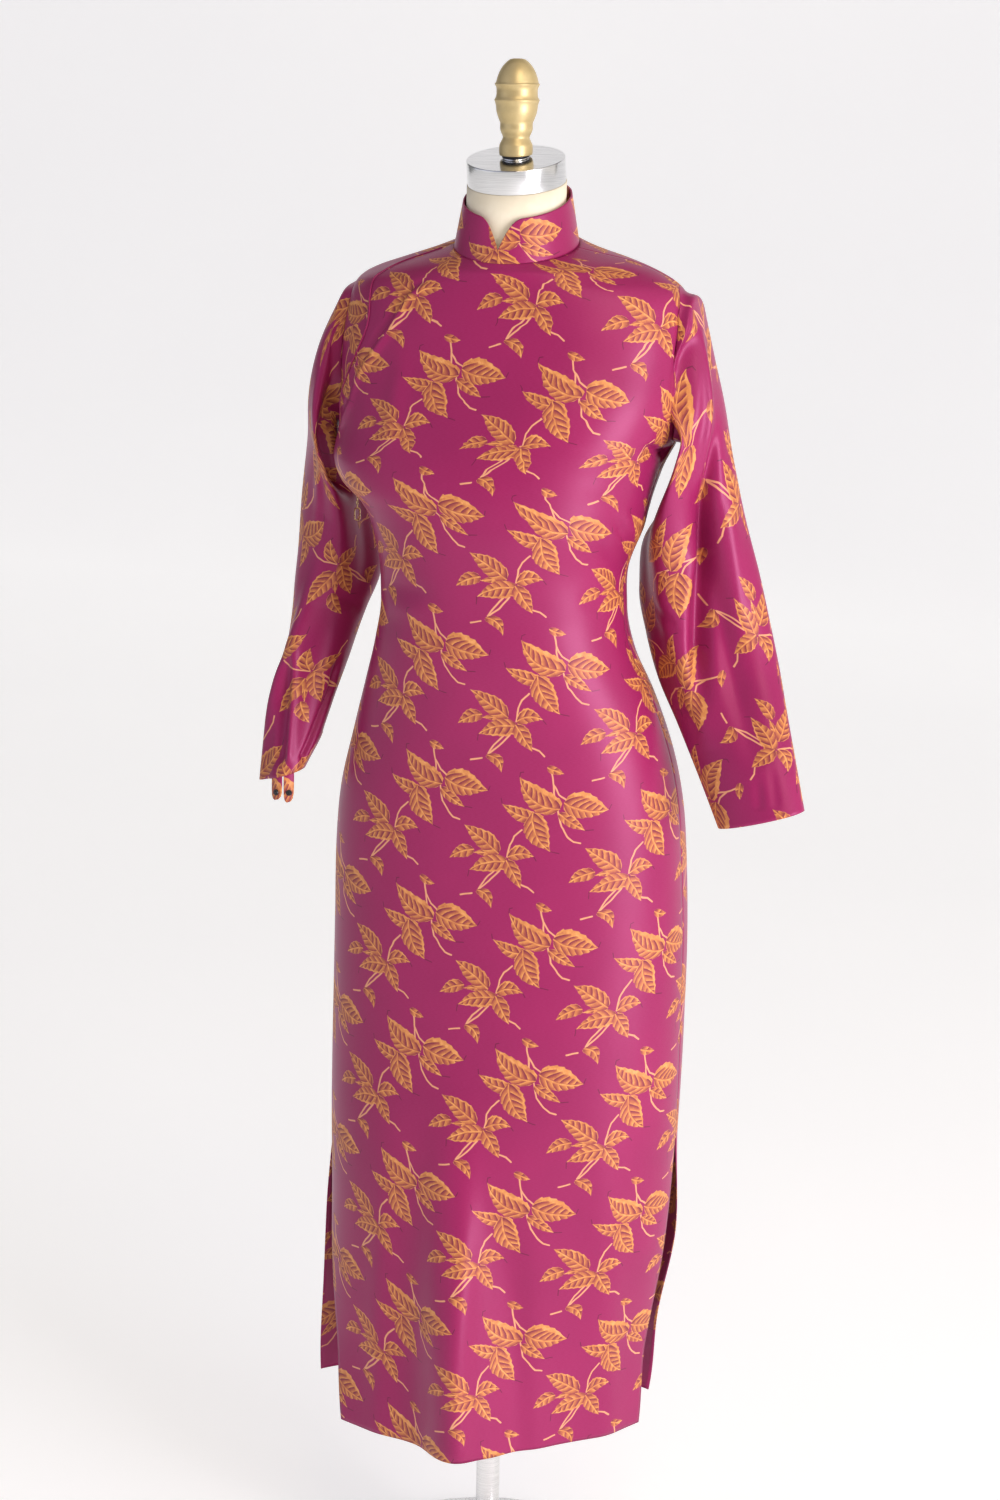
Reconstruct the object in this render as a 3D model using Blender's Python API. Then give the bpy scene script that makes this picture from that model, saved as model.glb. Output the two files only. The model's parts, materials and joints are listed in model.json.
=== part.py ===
"""Long-sleeved cheongsam of leaf brocade, worn on a limbless dress form with a round base.

Metres, +Z up. The form faces -Y, so +X is the wearer's left. The origin is on the pole's axis,
at the underside of the base plate. An angle round the body is 0 at the centre front and
+90 degrees at the wearer's left side.
"""
import math

import bmesh
import bpy
import numpy as np
from mathutils import Matrix, Vector

# Cloth
WALL = 0.0015
SEAM_GAP = 0.0003
LAYER_STEP = WALL + SEAM_GAP
SLEEVE_SEAM_GAP = 0.0004

# Heights of the dress on its stand
HEM_HEIGHT = 0.205
SLIT_TOP = 0.545
ARMPIT_HEIGHT = 1.283
SHOULDER_HEIGHT = 1.436
NECK_HEIGHT = 1.4715

# Columns of wall facets across each panel and round each sleeve
FRONT_COLUMNS = 20
BACK_COLUMNS = 16
FLAP_COLUMNS = 4
SLEEVE_FACETS = 20

# Horizontal sections of the dress. front and back are depths from the section's own centre,
# power is 2 for an ellipse, less for a pointed front and more for a squarer one, tilt is the
# rise of a section towards the back, slope its rise towards the wearer's left, and twist turns
# it towards the wearer's left.
BODY_COLUMNS = ("height", "half_width", "front", "back", "centre_x", "centre_y", "power", "tilt", "slope", "twist")
BODY_SECTIONS = (
    (0.205, 0.192, 0.126, 0.122, 0.000, 0.000, 1.37, 0.00, 0.000, 19.5),
    (0.300, 0.181, 0.125, 0.124, 0.000, 0.004, 1.52, 0.00, 0.000, 15.0),
    (0.420, 0.186, 0.124, 0.127, 0.003, 0.012, 1.80, 0.00, 0.000, 8.0),
    (0.545, 0.191, 0.122, 0.131, 0.003, 0.018, 2.05, 0.00, 0.000, 3.0),
    (0.650, 0.193, 0.119, 0.133, 0.003, 0.022, 2.15, 0.00, 0.000, 0.0),
    (0.750, 0.192, 0.115, 0.135, 0.003, 0.024, 2.25, 0.00, 0.000, 0.0),
    (0.840, 0.189, 0.111, 0.136, 0.002, 0.022, 2.30, 0.00, 0.000, 0.0),
    (0.900, 0.184, 0.108, 0.130, 0.003, 0.018, 2.25, 0.00, 0.000, 0.0),
    (0.960, 0.171, 0.105, 0.118, 0.005, 0.012, 2.20, 0.00, 0.000, 0.0),
    (1.020, 0.153, 0.102, 0.105, 0.004, 0.003, 2.15, 0.00, 0.000, 0.0),
    (1.065, 0.137, 0.100, 0.097, 0.001, -0.005, 2.15, 0.00, 0.000, 0.0),
    (1.110, 0.129, 0.100, 0.093, 0.000, -0.008, 2.15, 0.00, 0.000, 0.0),
    (1.150, 0.130, 0.106, 0.094, -0.001, -0.008, 2.15, 0.00, 0.000, 0.0),
    (1.190, 0.142, 0.117, 0.098, 0.001, -0.006, 2.15, 0.00, 0.000, 0.0),
    (1.210, 0.150, 0.122, 0.101, -0.003, -0.003, 2.20, 0.00, 0.000, 0.0),
    (1.228, 0.162, 0.126, 0.103, -0.011, 0.000, 2.25, 0.00, 0.000, 0.0),
    (1.250, 0.170, 0.128, 0.105, -0.013, 0.004, 2.35, 0.00, 0.000, 0.0),
    (1.283, 0.175, 0.128, 0.106, -0.004, 0.012, 2.50, 0.00, 0.000, 0.0),
    (1.320, 0.181, 0.123, 0.102, 0.000, 0.019, 2.60, 0.00, 0.000, 0.0),
    (1.360, 0.183, 0.112, 0.093, 0.000, 0.024, 2.60, 0.00, 0.000, 0.0),
    (1.402, 0.180, 0.099, 0.080, 0.000, 0.024, 2.45, 0.00, 0.010, 0.0),
    (1.436, 0.168, 0.087, 0.064, 0.000, 0.022, 2.15, 0.02, 0.005, 0.0),
    (1.446, 0.150, 0.083, 0.060, 0.000, 0.019, 1.95, 0.06, 0.012, 0.0),
    (1.4560, 0.121, 0.078, 0.056, 0.000, 0.015, 1.90, 0.11, 0.020, 0.0),
    (1.4640, 0.090, 0.070, 0.057, 0.000, 0.010, 1.95, 0.18, 0.010, 0.0),
    (1.4715, 0.0635, 0.063, 0.061, 0.001, 0.006, 2.00, 0.25, -0.015, 0.0),
)

# Below the slits the back panel hangs by itself, wider and less turned than the front
BACK_SKIRT_SECTIONS = (
    (0.205, 0.231, 0.130, 0.130, -0.012, -0.006, 1.80, 0.00, 0.000, 12.4),
    (0.300, 0.206, 0.128, 0.130, -0.012, 0.006, 1.85, 0.00, 0.000, 10.0),
    (0.420, 0.199, 0.125, 0.130, -0.002, 0.014, 1.95, 0.00, 0.000, 6.5),
)

# Heights of the rows of facets below the armpit and above the shoulder point
BODY_ROWS = (0.205, 0.25, 0.30, 0.35, 0.40, 0.45, 0.50, 0.545, 0.60, 0.66, 0.72, 0.78, 0.84, 0.88,
             0.92, 0.96, 1.00, 1.035, 1.065, 1.09, 1.115, 1.14, 1.165, 1.19, 1.215, 1.24, 1.262)
NECK_ROWS = (1.442, 1.449, 1.457, 1.4645, 1.4715)
ARMHOLE_STEPS = SLEEVE_FACETS // 2

# Large soft folds of the body: where the crest starts and ends, how wide it is, how far it stands
# out (or, below zero, sinks in), all measured before the twist
FOLD_COLUMNS = ("top", "bottom", "top_angle", "bottom_angle", "half_angle", "rise")
BODY_FOLDS = (
    (0.66, 0.12, -6.0, -21.0, 14.0, 0.027),
    (0.70, 0.10, 34.0, 36.0, 15.0, -0.004),
    (0.66, 0.00, 176.0, 168.0, 14.0, 0.012),
    (0.64, 0.00, 214.0, 222.0, 16.0, -0.008),
    (0.64, 0.00, 140.0, 132.0, 16.0, -0.008),
)

# How far, in degrees, the edges of the side slits stand back from the side at the hem
SLIT_FRONT = 13.7
SLIT_BACK = 20.5
SLIT_SPREAD_POWER = 1.15

# The armhole is an oval in angle and height about the side
ARMHOLE_FRONT_ANGLE = 12.0
ARMHOLE_BACK_ANGLE = 14.0

# Edge of the overlapping front on the wearer's right, from the side zip up to the collar
OPENING_COLUMNS = ("height", "angle")
OPENING_EDGE = (
    (1.205, -90.0),
    (1.230, -86.0),
    (1.262, -80.0),
    (1.300, -73.0),
    (1.340, -64.0),
    (1.385, -60.0),
    (1.420, -65.0),
    (1.445, -72.0),
    (1.458, -77.0),
    (1.4715, -80.0),
)
FLAP_LEAST_ANGLE = 1.5
FLAP_BOTTOM = 1.235

# Sleeves: the outer fold and the underarm edge, station by station from the armhole down, with
# the depths of the section in front of and behind the line between them
SLEEVE_COLUMNS = ("outer_x", "outer_y", "outer_z", "inner_x", "inner_y", "inner_z", "front", "back", "power")
LEFT_SLEEVE = (
    (0.1870, 0.028, 1.4240, 0.1870, 0.026, 1.2780, 0.046, 0.0455, 2.2),
    (0.2000, 0.0275, 1.3740, 0.1845, 0.037, 1.2580, 0.060, 0.041, 2.2),
    (0.2135, 0.030, 1.3235, 0.1695, 0.046, 1.2365, 0.066, 0.036, 2.1),
    (0.2250, 0.033, 1.2650, 0.1503, 0.057, 1.2060, 0.062, 0.032, 2.0),
    (0.2400, 0.038, 1.2050, 0.1290, 0.062, 1.170, 0.055, 0.030, 1.9),
    (0.2560, 0.040, 1.1520, 0.1265, 0.062, 1.122, 0.048, 0.030, 1.9),
    (0.2700, 0.036, 1.1040, 0.1380, 0.056, 1.074, 0.042, 0.031, 1.9),
    (0.2855, 0.022, 1.0570, 0.1560, 0.042, 1.032, 0.037, 0.031, 2.0),
    (0.3010, -0.002, 1.0160, 0.1840, 0.018, 0.992, 0.033, 0.029, 2.0),
    (0.3180, -0.028, 0.9720, 0.2160, -0.012, 0.946, 0.029, 0.026, 2.1),
    (0.3345, -0.050, 0.9270, 0.2450, -0.038, 0.899, 0.024, 0.022, 2.1),
)
RIGHT_SLEEVE = (
    (-0.1890, 0.028, 1.4180, -0.1915, 0.026, 1.277, 0.046, 0.046, 2.2),
    (-0.2120, 0.031, 1.3700, -0.1880, 0.037, 1.257, 0.060, 0.041, 2.2),
    (-0.2275, 0.032, 1.3180, -0.1830, 0.050, 1.234, 0.066, 0.036, 2.1),
    (-0.2350, 0.033, 1.2600, -0.1760, 0.060, 1.206, 0.060, 0.032, 2.0),
    (-0.2420, 0.034, 1.2000, -0.1670, 0.064, 1.164, 0.052, 0.030, 1.9),
    (-0.2460, 0.036, 1.1460, -0.1600, 0.058, 1.120, 0.046, 0.032, 1.9),
    (-0.2500, 0.038, 1.0940, -0.1710, 0.040, 1.078, 0.040, 0.034, 1.9),
    (-0.2495, 0.038, 1.0460, -0.1850, 0.018, 1.034, 0.036, 0.034, 2.0),
    (-0.2490, 0.034, 0.9980, -0.2010, -0.006, 0.990, 0.032, 0.030, 2.0),
    (-0.2450, 0.026, 0.9500, -0.2150, -0.030, 0.948, 0.028, 0.026, 2.1),
    (-0.2560, 0.016, 0.8990, -0.2230, -0.046, 0.910, 0.022, 0.022, 2.1),
)

# Folds of a sleeve: from which station to which, round which angle from the outer fold towards
# the front, how wide and how high
SLEEVE_FOLD_COLUMNS = ("first", "last", "first_angle", "last_angle", "half_angle", "rise")
LEFT_SLEEVE_FOLDS = (
    (1.2, 8.5, 84.0, 112.0, 17.0, 0.010),
    (2.0, 9.0, 52.0, 62.0, 15.0, -0.011),
    (1.0, 6.0, 150.0, 140.0, 20.0, -0.008),
    (2.0, 9.0, 286.0, 262.0, 22.0, -0.007),
)
RIGHT_SLEEVE_FOLDS = (
    (0.0, 6.0, 84.0, 96.0, 16.0, 0.010),
    (4.0, 12.0, 70.0, 88.0, 17.0, 0.009),
    (1.0, 6.0, 140.0, 140.0, 20.0, -0.008),
    (2.0, 9.0, 286.0, 262.0, 22.0, -0.007),
)

# Collar
COLLAR_FRONT_LEAN = 0.007
COLLAR_SIDE_LEAN = 0.009
COLLAR_BACK_LEAN = 0.003
COLLAR_FRONT_HEIGHT = 0.043
COLLAR_SIDE_HEIGHT = 0.048
COLLAR_END_HEIGHT = 0.013
COLLAR_ROUNDING = 0.028
COLLAR_ROUNDING_POWER = 2.4
COLLAR_END_STEPS = (0.0, 0.0026, 0.0055, 0.009, 0.014, 0.020, 0.028)
COLLAR_ROUND_STEPS = 18
COLLAR_ROWS = 4

# Dress form
FORM_CLEARANCE = 0.0050
FORM_BOTTOM = 0.745
FORM_FACETS = 28
FORM_EASE_COLUMNS = ("height", "ease")
FORM_EASE = ((0.745, 0.012), (0.84, 0.003), (1.10, 0.003), (1.25, 0.003), (1.32, 0.0017), (1.40, 0.0), (1.48, 0.0))
FORM_ROWS = (0.745, 0.752, 0.79, 0.84, 0.88, 0.92, 0.96, 1.00, 1.035, 1.065, 1.09, 1.115, 1.14, 1.165, 1.19,
             1.21, 1.235, 1.26, 1.283, 1.3139, 1.345, 1.375, 1.400, 1.421, 1.436, 1.442, 1.449, 1.457,
             1.4645, 1.4715)
NECK_TILT = math.radians(13.0)
NECK_RADIUS = 0.0505
NECK_COLUMNS = ("height", "radius", "centre_y")
NECK_RINGS = ((1.484, 0.0545, 0.0055), (1.496, 0.0520, 0.0050), (1.510, NECK_RADIUS, 0.0050))
CAP_RADIUS = 0.050
CAP_HEIGHT = 0.025
CAP_TOP = 1.5585
ROUND_FACETS = 32
FINIAL_FACETS = 24

FINIAL_BOTTOM = 1.5640
FINIAL_COLUMNS = ("up", "radius")
FINIAL_PROFILE = (
    (0.000, 0.0150), (0.003, 0.0163), (0.008, 0.0160), (0.013, 0.0143), (0.019, 0.0135), (0.027, 0.0155),
    (0.034, 0.0182), (0.042, 0.0196), (0.0455, 0.0198), (0.0475, 0.0222), (0.050, 0.0229), (0.0525, 0.0222),
    (0.0545, 0.0204), (0.060, 0.0202), (0.0635, 0.0205), (0.0655, 0.0222), (0.068, 0.0229), (0.0705, 0.0221),
    (0.076, 0.0190), (0.082, 0.0150), (0.087, 0.0105), (0.0905, 0.0060), (0.092, 0.0020),
)
WASHER_RADIUS = 0.0140

POLE_RADIUS = 0.013
BASE_RADIUS = 0.170
BASE_THICKNESS = 0.010
BASE_EDGE = 0.003
SOCKET_RADIUS = 0.022
SOCKET_HEIGHT = 0.045
SOCKET_CHAMFER = 0.004

# Snap tabs hanging from the hem of the wearer's right sleeve: at which facet corner, how far
# down, and how wide as a share of two facets
TAB_COLUMNS = ("corner", "length", "spread")
TABS = {
    "cuff_tab_outer": (8, 0.024, 0.90),
    "cuff_tab_inner": (10, 0.030, 0.85),
}
TAB_ROWS = ((0.0, 1.0), (0.45, 1.0), (0.75, 0.95), (0.92, 0.75), (1.0, 0.40))
SNAP_SHARE = 0.66
SNAP_RADIUS = 0.0034
SNAP_THICKNESS = 0.0012
SNAP_STUD_RADIUS = 0.0013
SNAP_STUD_HEIGHT = 0.0010
SNAP_FACETS = 14

# Side zip on the wearer's right: the slider on the seam and the hanging pull
ZIP_HEIGHT = 1.217
SLIDER_SIZE = (0.0024, 0.0052, 0.0090)
SLIDER_LIFT = 0.0006
HINGE_OUT = 0.0075
LUG_HALF = 0.0008
LUG_DROP = 0.0010
LINK_COUNT = 5
LINK_PITCH = 0.0036
LINK_LENGTH = 0.0046
LINK_WIDTH = 0.0026
LINK_WIRE = 0.00045
RING_LENGTH = 0.0145
RING_WIDTH = 0.0072
RING_WIRE = 0.00078
RING_TURN = math.radians(32.0)
WIRE_SIDES = 6
LINK_SEGMENTS = 10
RING_SEGMENTS = 18

# Colours
PLUM_SATIN = (0.27, 0.030, 0.105)
CREAM_CANVAS = (0.78, 0.72, 0.58)
STEEL = (0.62, 0.62, 0.62)
GOLD_PAINT = (0.34, 0.25, 0.11)
DARK_METAL = (0.03, 0.03, 0.035)
ZIP_GOLD = (0.60, 0.42, 0.16)


def clear_scene():
    for thing in list(bpy.data.objects):
        bpy.data.objects.remove(thing, do_unlink=True)


def make_material(name, colour, roughness, metallic):
    material = bpy.data.materials.new(name)
    material.use_nodes = True
    shader = material.node_tree.nodes["Principled BSDF"]
    shader.inputs["Base Color"].default_value = (*colour, 1.0)
    shader.inputs["Roughness"].default_value = roughness
    shader.inputs["Metallic"].default_value = metallic
    return material


def make_object(name, points, faces, material, smooth=False):
    """One closed body, with its faces turned outwards."""
    shape = bmesh.new()
    corners = [shape.verts.new(tuple(float(number) for number in point)) for point in points]
    for face in faces:
        shape.faces.new([corners[index] for index in face])
    bmesh.ops.recalc_face_normals(shape, faces=shape.faces)
    if shape.calc_volume(signed=True) < 0.0:
        bmesh.ops.reverse_faces(shape, faces=shape.faces)
    mesh = bpy.data.meshes.new(name)
    shape.to_mesh(mesh)
    shape.free()
    mesh.materials.append(material)
    if smooth:
        mesh.shade_smooth()
        mesh.set_sharp_from_angle(angle=math.radians(40.0))
    thing = bpy.data.objects.new(name, mesh)
    bpy.context.scene.collection.objects.link(thing)
    return thing


def smooth_row(columns, table, where):
    """A row of the table at a height (or other first column), on smooth curves through its rows."""
    keys = np.array([row[0] for row in table])
    values = np.array([row[1:] for row in table])
    where = min(max(where, keys[0]), keys[-1])
    index = int(min(max(np.searchsorted(keys, where) - 1, 0), len(keys) - 2))
    slopes = np.diff(values, axis=0) / np.diff(keys)[:, None]
    inner = 0.5 * (slopes[1:] + slopes[:-1])
    inner[slopes[1:] * slopes[:-1] < 0.0] = 0.0
    tangents = np.vstack((slopes[:1], inner, slopes[-1:]))
    span = keys[index + 1] - keys[index]
    t = (where - keys[index]) / span
    row = ((2 * t**3 - 3 * t**2 + 1) * values[index] + (t**3 - 2 * t**2 + t) * span * tangents[index]
           + (3 * t**2 - 2 * t**3) * values[index + 1] + (t**3 - t**2) * span * tangents[index + 1])
    return dict(zip(columns, (where, *row)))


def soft_step(value):
    value = min(max(value, 0.0), 1.0)
    return value * value * (3.0 - 2.0 * value)


def angle_between(first, second):
    return (first - second + 180.0) % 360.0 - 180.0


def body_fold_rise(angle, height):
    rise = 0.0
    for row in BODY_FOLDS:
        fold = dict(zip(FOLD_COLUMNS, row))
        down = (fold["top"] - height) / (fold["top"] - fold["bottom"])
        crest = fold["top_angle"] + (fold["bottom_angle"] - fold["top_angle"]) * min(max(down, 0.0), 1.0)
        off_crest = angle_between(angle, crest) / fold["half_angle"]
        rise += fold["rise"] * soft_step(down * 1.4) * math.exp(-off_crest**2)
    return rise


def section_at(angle, height):
    """The section of the dress at a height, on the front's side or the back's."""
    behind = math.cos(math.radians(angle)) < 0.0
    table = BACK_SKIRT_SECTIONS + BODY_SECTIONS[3:] if behind and height < SLIT_TOP else BODY_SECTIONS
    return smooth_row(BODY_COLUMNS, table, height)


def body_point(angle, height):
    """A point of the dress's outer surface."""
    section = section_at(angle, height)
    across = math.sin(math.radians(angle))
    back = -math.cos(math.radians(angle))
    depth = section["back"] if back > 0.0 else section["front"]
    power = section["power"]
    size = abs(across / section["half_width"])**power + abs(back / depth)**power
    radius = size**(-1.0 / power) + body_fold_rise(angle, height)
    turn = math.radians(section["twist"])
    x = radius * (across * math.cos(turn) - back * math.sin(turn)) + section["centre_x"]
    y = radius * (across * math.sin(turn) + back * math.cos(turn)) + section["centre_y"]
    return Vector((x, y, height + section["tilt"] * y + section["slope"] * x))


def body_normal(angle, height):
    """Outward direction of the dress's surface."""
    low = max(height - 0.002, HEM_HEIGHT)
    high = min(height + 0.002, NECK_HEIGHT)
    along = body_point(angle + 1.0, height) - body_point(angle - 1.0, height)
    upward = body_point(angle, high) - body_point(angle, low)
    return along.cross(upward).normalized()


def body_layer(angle, height, depth):
    """A point under the dress's outer surface by depth."""
    return body_point(angle, height) - body_normal(angle, height) * depth


def armhole_rows():
    """Heights of the rows from the armpit to the shoulder, evenly spaced round the oval armhole."""
    middle = 0.5 * (ARMPIT_HEIGHT + SHOULDER_HEIGHT)
    half = 0.5 * (SHOULDER_HEIGHT - ARMPIT_HEIGHT)
    return [middle - half * math.cos(math.pi * step / ARMHOLE_STEPS) for step in range(ARMHOLE_STEPS + 1)]


def armhole_share(height):
    """How far open the armhole is at a height: 0 at its ends, 1 in the middle."""
    middle = 0.5 * (ARMPIT_HEIGHT + SHOULDER_HEIGHT)
    half = 0.5 * (SHOULDER_HEIGHT - ARMPIT_HEIGHT)
    return math.sqrt(max(0.0, 1.0 - ((height - middle) / half)**2))


def slit_share(height):
    return max(0.0, (SLIT_TOP - height) / (SLIT_TOP - HEM_HEIGHT))**SLIT_SPREAD_POWER


def seam_angle(height):
    """Half the seam's gap, as an angle at the side of the body."""
    half_width = smooth_row(BODY_COLUMNS, BODY_SECTIONS, height)["half_width"]
    return math.degrees(SEAM_GAP / 2.0 / half_width)


def front_edges(height):
    """Angles of the front panel's two edges at a height."""
    gap = seam_angle(height)
    left = 90.0 - SLIT_FRONT * slit_share(height) - ARMHOLE_FRONT_ANGLE * armhole_share(height) - gap
    right = -90.0 + SLIT_FRONT * slit_share(height) + gap
    if height > OPENING_EDGE[0][0]:
        right = max(smooth_row(OPENING_COLUMNS, OPENING_EDGE, height)["angle"], right)
    return right, left


def back_edges(height):
    gap = seam_angle(height)
    open_angle = SLIT_BACK * slit_share(height) + ARMHOLE_BACK_ANGLE * armhole_share(height) + gap
    return 90.0 + open_angle, 270.0 - open_angle


def wall_faces(rows, columns, closed):
    """Faces of a wall with rows x columns outer points, then as many inner points."""
    inner = rows * columns
    last = columns if closed else columns - 1
    faces = []
    for row in range(rows - 1):
        for column in range(last):
            a = row * columns + column
            b = row * columns + (column + 1) % columns
            faces.append((a, b, b + columns, a + columns))
            faces.append((inner + a, inner + a + columns, inner + b + columns, inner + b))
    for column in range(last):
        a, b = column, (column + 1) % columns
        top = (rows - 1) * columns
        faces.append((a, inner + a, inner + b, b))
        faces.append((top + a, top + b, inner + top + b, inner + top + a))
    if not closed:
        for row in range(rows - 1):
            for a in (row * columns, row * columns + columns - 1):
                faces.append((a, a + columns, inner + a + columns, inner + a))
    return faces


def spread(first, last, columns):
    return [first + (last - first) * column / columns for column in range(columns + 1)]


def front_angles(height):
    return spread(*front_edges(height), FRONT_COLUMNS)


def back_angles(height):
    return spread(*back_edges(height), BACK_COLUMNS)


def flap_angles(height):
    """The under-flap runs from the shoulder seam or armhole to one facet under the front's edge."""
    shoulder = -90.0 + ARMHOLE_FRONT_ANGLE * armhole_share(height) + seam_angle(height)
    front_edge, under_front = front_angles(height)[:2]
    return spread(shoulder, max(front_edge, shoulder + FLAP_LEAST_ANGLE), FLAP_COLUMNS) + [under_front]


def body_wall(name, heights, angles_at, depth, material):
    """A panel of the dress: a wall through the angles at each height, depth under the outer surface."""
    outer, inner = [], []
    for height in heights:
        for angle in angles_at(height):
            outer.append(body_layer(angle, height, depth))
            inner.append(body_layer(angle, height, depth + WALL))
    faces = wall_faces(len(heights), len(angles_at(heights[0])), closed=False)
    return make_object(name, outer + inner, faces, material, smooth=True)


def sleeve_fold_rise(folds, station, angle):
    rise = 0.0
    for row in folds:
        fold = dict(zip(SLEEVE_FOLD_COLUMNS, row))
        along = (station - fold["first"]) / (fold["last"] - fold["first"])
        if 0.0 < along < 1.0:
            crest = fold["first_angle"] + (fold["last_angle"] - fold["first_angle"]) * along
            off_crest = angle_between(angle, crest) / fold["half_angle"]
            rise += fold["rise"] * math.sin(math.pi * along)**0.7 * math.exp(-off_crest**2)
    return rise


def sleeve_ring(row, folds, station):
    """One section of a sleeve, from the outer fold round the front, the underarm and the back."""
    section = dict(zip(SLEEVE_COLUMNS, row))
    outer = Vector((section["outer_x"], section["outer_y"], section["outer_z"]))
    inner = Vector((section["inner_x"], section["inner_y"], section["inner_z"]))
    centre = (outer + inner) / 2.0
    across = (outer - inner).normalized()
    half_width = (outer - inner).length / 2.0
    forward = Vector((0.0, -1.0, 0.0))
    forward = (forward - across * forward.dot(across)).normalized()
    ring = []
    for step in range(SLEEVE_FACETS):
        angle = 360.0 * step / SLEEVE_FACETS
        out = math.cos(math.radians(angle))
        fore = math.sin(math.radians(angle))
        depth = section["front"] if fore > 0.0 else section["back"]
        size = abs(out)**section["power"] + abs(fore)**section["power"]
        scale = size**(-1.0 / section["power"])
        rise = sleeve_fold_rise(folds, station, angle)
        offset = across * (half_width * out * scale) + forward * (depth * fore * scale)
        ring.append(centre + offset + offset.normalized() * rise)
    return ring


def armhole_ring(side):
    """The sewn edge of a sleeve: the body's armhole, one seam's gap nearer its middle."""
    middle_height = 0.5 * (ARMPIT_HEIGHT + SHOULDER_HEIGHT)
    half_height = 0.5 * (SHOULDER_HEIGHT - ARMPIT_HEIGHT) - SLEEVE_SEAM_GAP
    gap_angle = math.degrees(SLEEVE_SEAM_GAP / BODY_SECTIONS[-7][1])
    ring = []
    for step in range(SLEEVE_FACETS):
        turn = 2.0 * math.pi * step / SLEEVE_FACETS
        fore = math.sin(turn)
        half_angle = (ARMHOLE_FRONT_ANGLE if fore > 0.0 else ARMHOLE_BACK_ANGLE) - gap_angle
        height = middle_height + half_height * math.cos(turn)
        ring.append(body_point(side * (90.0 - half_angle * fore), height))
    return ring


def grid_normals(rows):
    """Outward directions at the points of a closed tube given as rings of points."""
    grid = np.array([[tuple(point) for point in ring] for ring in rows])
    around = np.roll(grid, -1, axis=1) - np.roll(grid, 1, axis=1)
    along = np.gradient(grid, axis=0)
    normals = np.cross(around, along)
    normals /= np.linalg.norm(normals, axis=2, keepdims=True)
    centres = grid.mean(axis=1, keepdims=True)
    if np.mean(np.sum(normals * (grid - centres), axis=2)) < 0.0:
        normals = -normals
    return grid, normals


def sleeve_walls(side, table, folds):
    """Outer and inner points of a sleeve, ring by ring."""
    rings = [armhole_ring(side)]
    for station, row in enumerate(table):
        rings.append(sleeve_ring(row, folds, station))
    outer, normals = grid_normals(rings)
    return outer, outer - normals * WALL


def build_sleeve(name, walls, material):
    outer, inner = walls
    points = [*outer.reshape(-1, 3), *inner.reshape(-1, 3)]
    return make_object(name, points, wall_faces(len(outer), SLEEVE_FACETS, closed=True), material, smooth=True)


def collar_height(distance, angle):
    """Height of the collar at a distance along its base from the centre front."""
    reach = min(distance / COLLAR_ROUNDING, 1.0)
    rounded = 1.0 - (1.0 - reach)**COLLAR_ROUNDING_POWER
    full = COLLAR_FRONT_HEIGHT + (COLLAR_SIDE_HEIGHT - COLLAR_FRONT_HEIGHT) * math.sin(math.radians(angle) / 2.0)
    return COLLAR_END_HEIGHT + (full - COLLAR_END_HEIGHT) * rounded


def collar_lean(angle):
    """How far the top of a full-height collar leans in: most at the sides."""
    sideways = abs(math.sin(math.radians(angle)))
    end_lean = COLLAR_FRONT_LEAN if math.cos(math.radians(angle)) > 0.0 else COLLAR_BACK_LEAN
    return end_lean + (COLLAR_SIDE_LEAN - end_lean) * sideways**2


def build_collar(material):
    """A band round the neck whose two rounded ends meet at the centre front."""
    base_radius = BODY_SECTIONS[-1][2]
    end_gap = SEAM_GAP / 2.0
    end_angles = [math.degrees((step + end_gap) / base_radius) for step in COLLAR_END_STEPS]
    span = 360.0 - 2.0 * end_angles[-1]
    middle = [end_angles[-1] + span * step / COLLAR_ROUND_STEPS for step in range(1, COLLAR_ROUND_STEPS)]
    angles = end_angles + middle + [360.0 - angle for angle in reversed(end_angles)]
    outer, inner = [], []
    for row in range(COLLAR_ROWS + 1):
        for angle in angles:
            base = body_point(angle, NECK_HEIGHT)
            outwards = Vector((base.x, base.y, 0.0)).normalized()
            distance = math.radians(min(angle, 360.0 - angle)) * base_radius - end_gap
            up = collar_height(distance, angle) * row / COLLAR_ROWS
            lean = collar_lean(angle) * up / COLLAR_SIDE_HEIGHT
            lift = Vector((0.0, 0.0, up + SEAM_GAP))
            outer.append(base + lift - outwards * lean)
            inner.append(base + lift - outwards * (lean + WALL))
    return make_object("collar", outer + inner, wall_faces(COLLAR_ROWS + 1, len(angles), closed=False),
                       material, smooth=True)


def lathe(name, profile, material, matrix=Matrix.Identity(4), facets=ROUND_FACETS):
    """A turned solid: profile is (up, radius) pairs from its flat bottom to its flat top."""
    points = []
    for up, radius in profile:
        for step in range(facets):
            turn = 2.0 * math.pi * step / facets
            points.append(matrix @ Vector((radius * math.cos(turn), radius * math.sin(turn), up)))
    return make_object(name, points, ring_faces(len(profile), facets), material, smooth=True)


def ring_faces(rows, columns):
    """Side faces of stacked rings and a flat face on each end."""
    faces = [tuple(range(columns))]
    for row in range(rows - 1):
        for column in range(columns):
            a = row * columns + column
            b = row * columns + (column + 1) % columns
            faces.append((a, b, b + columns, a + columns))
    faces.append(tuple((rows - 1) * columns + column for column in range(columns)))
    return faces


def cap_matrix():
    """Frame of the tilted neck plate: its origin is the middle of the cap's top."""
    return Matrix.Translation((0.0, 0.0, CAP_TOP)) @ Matrix.Rotation(NECK_TILT, 4, "X")


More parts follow.
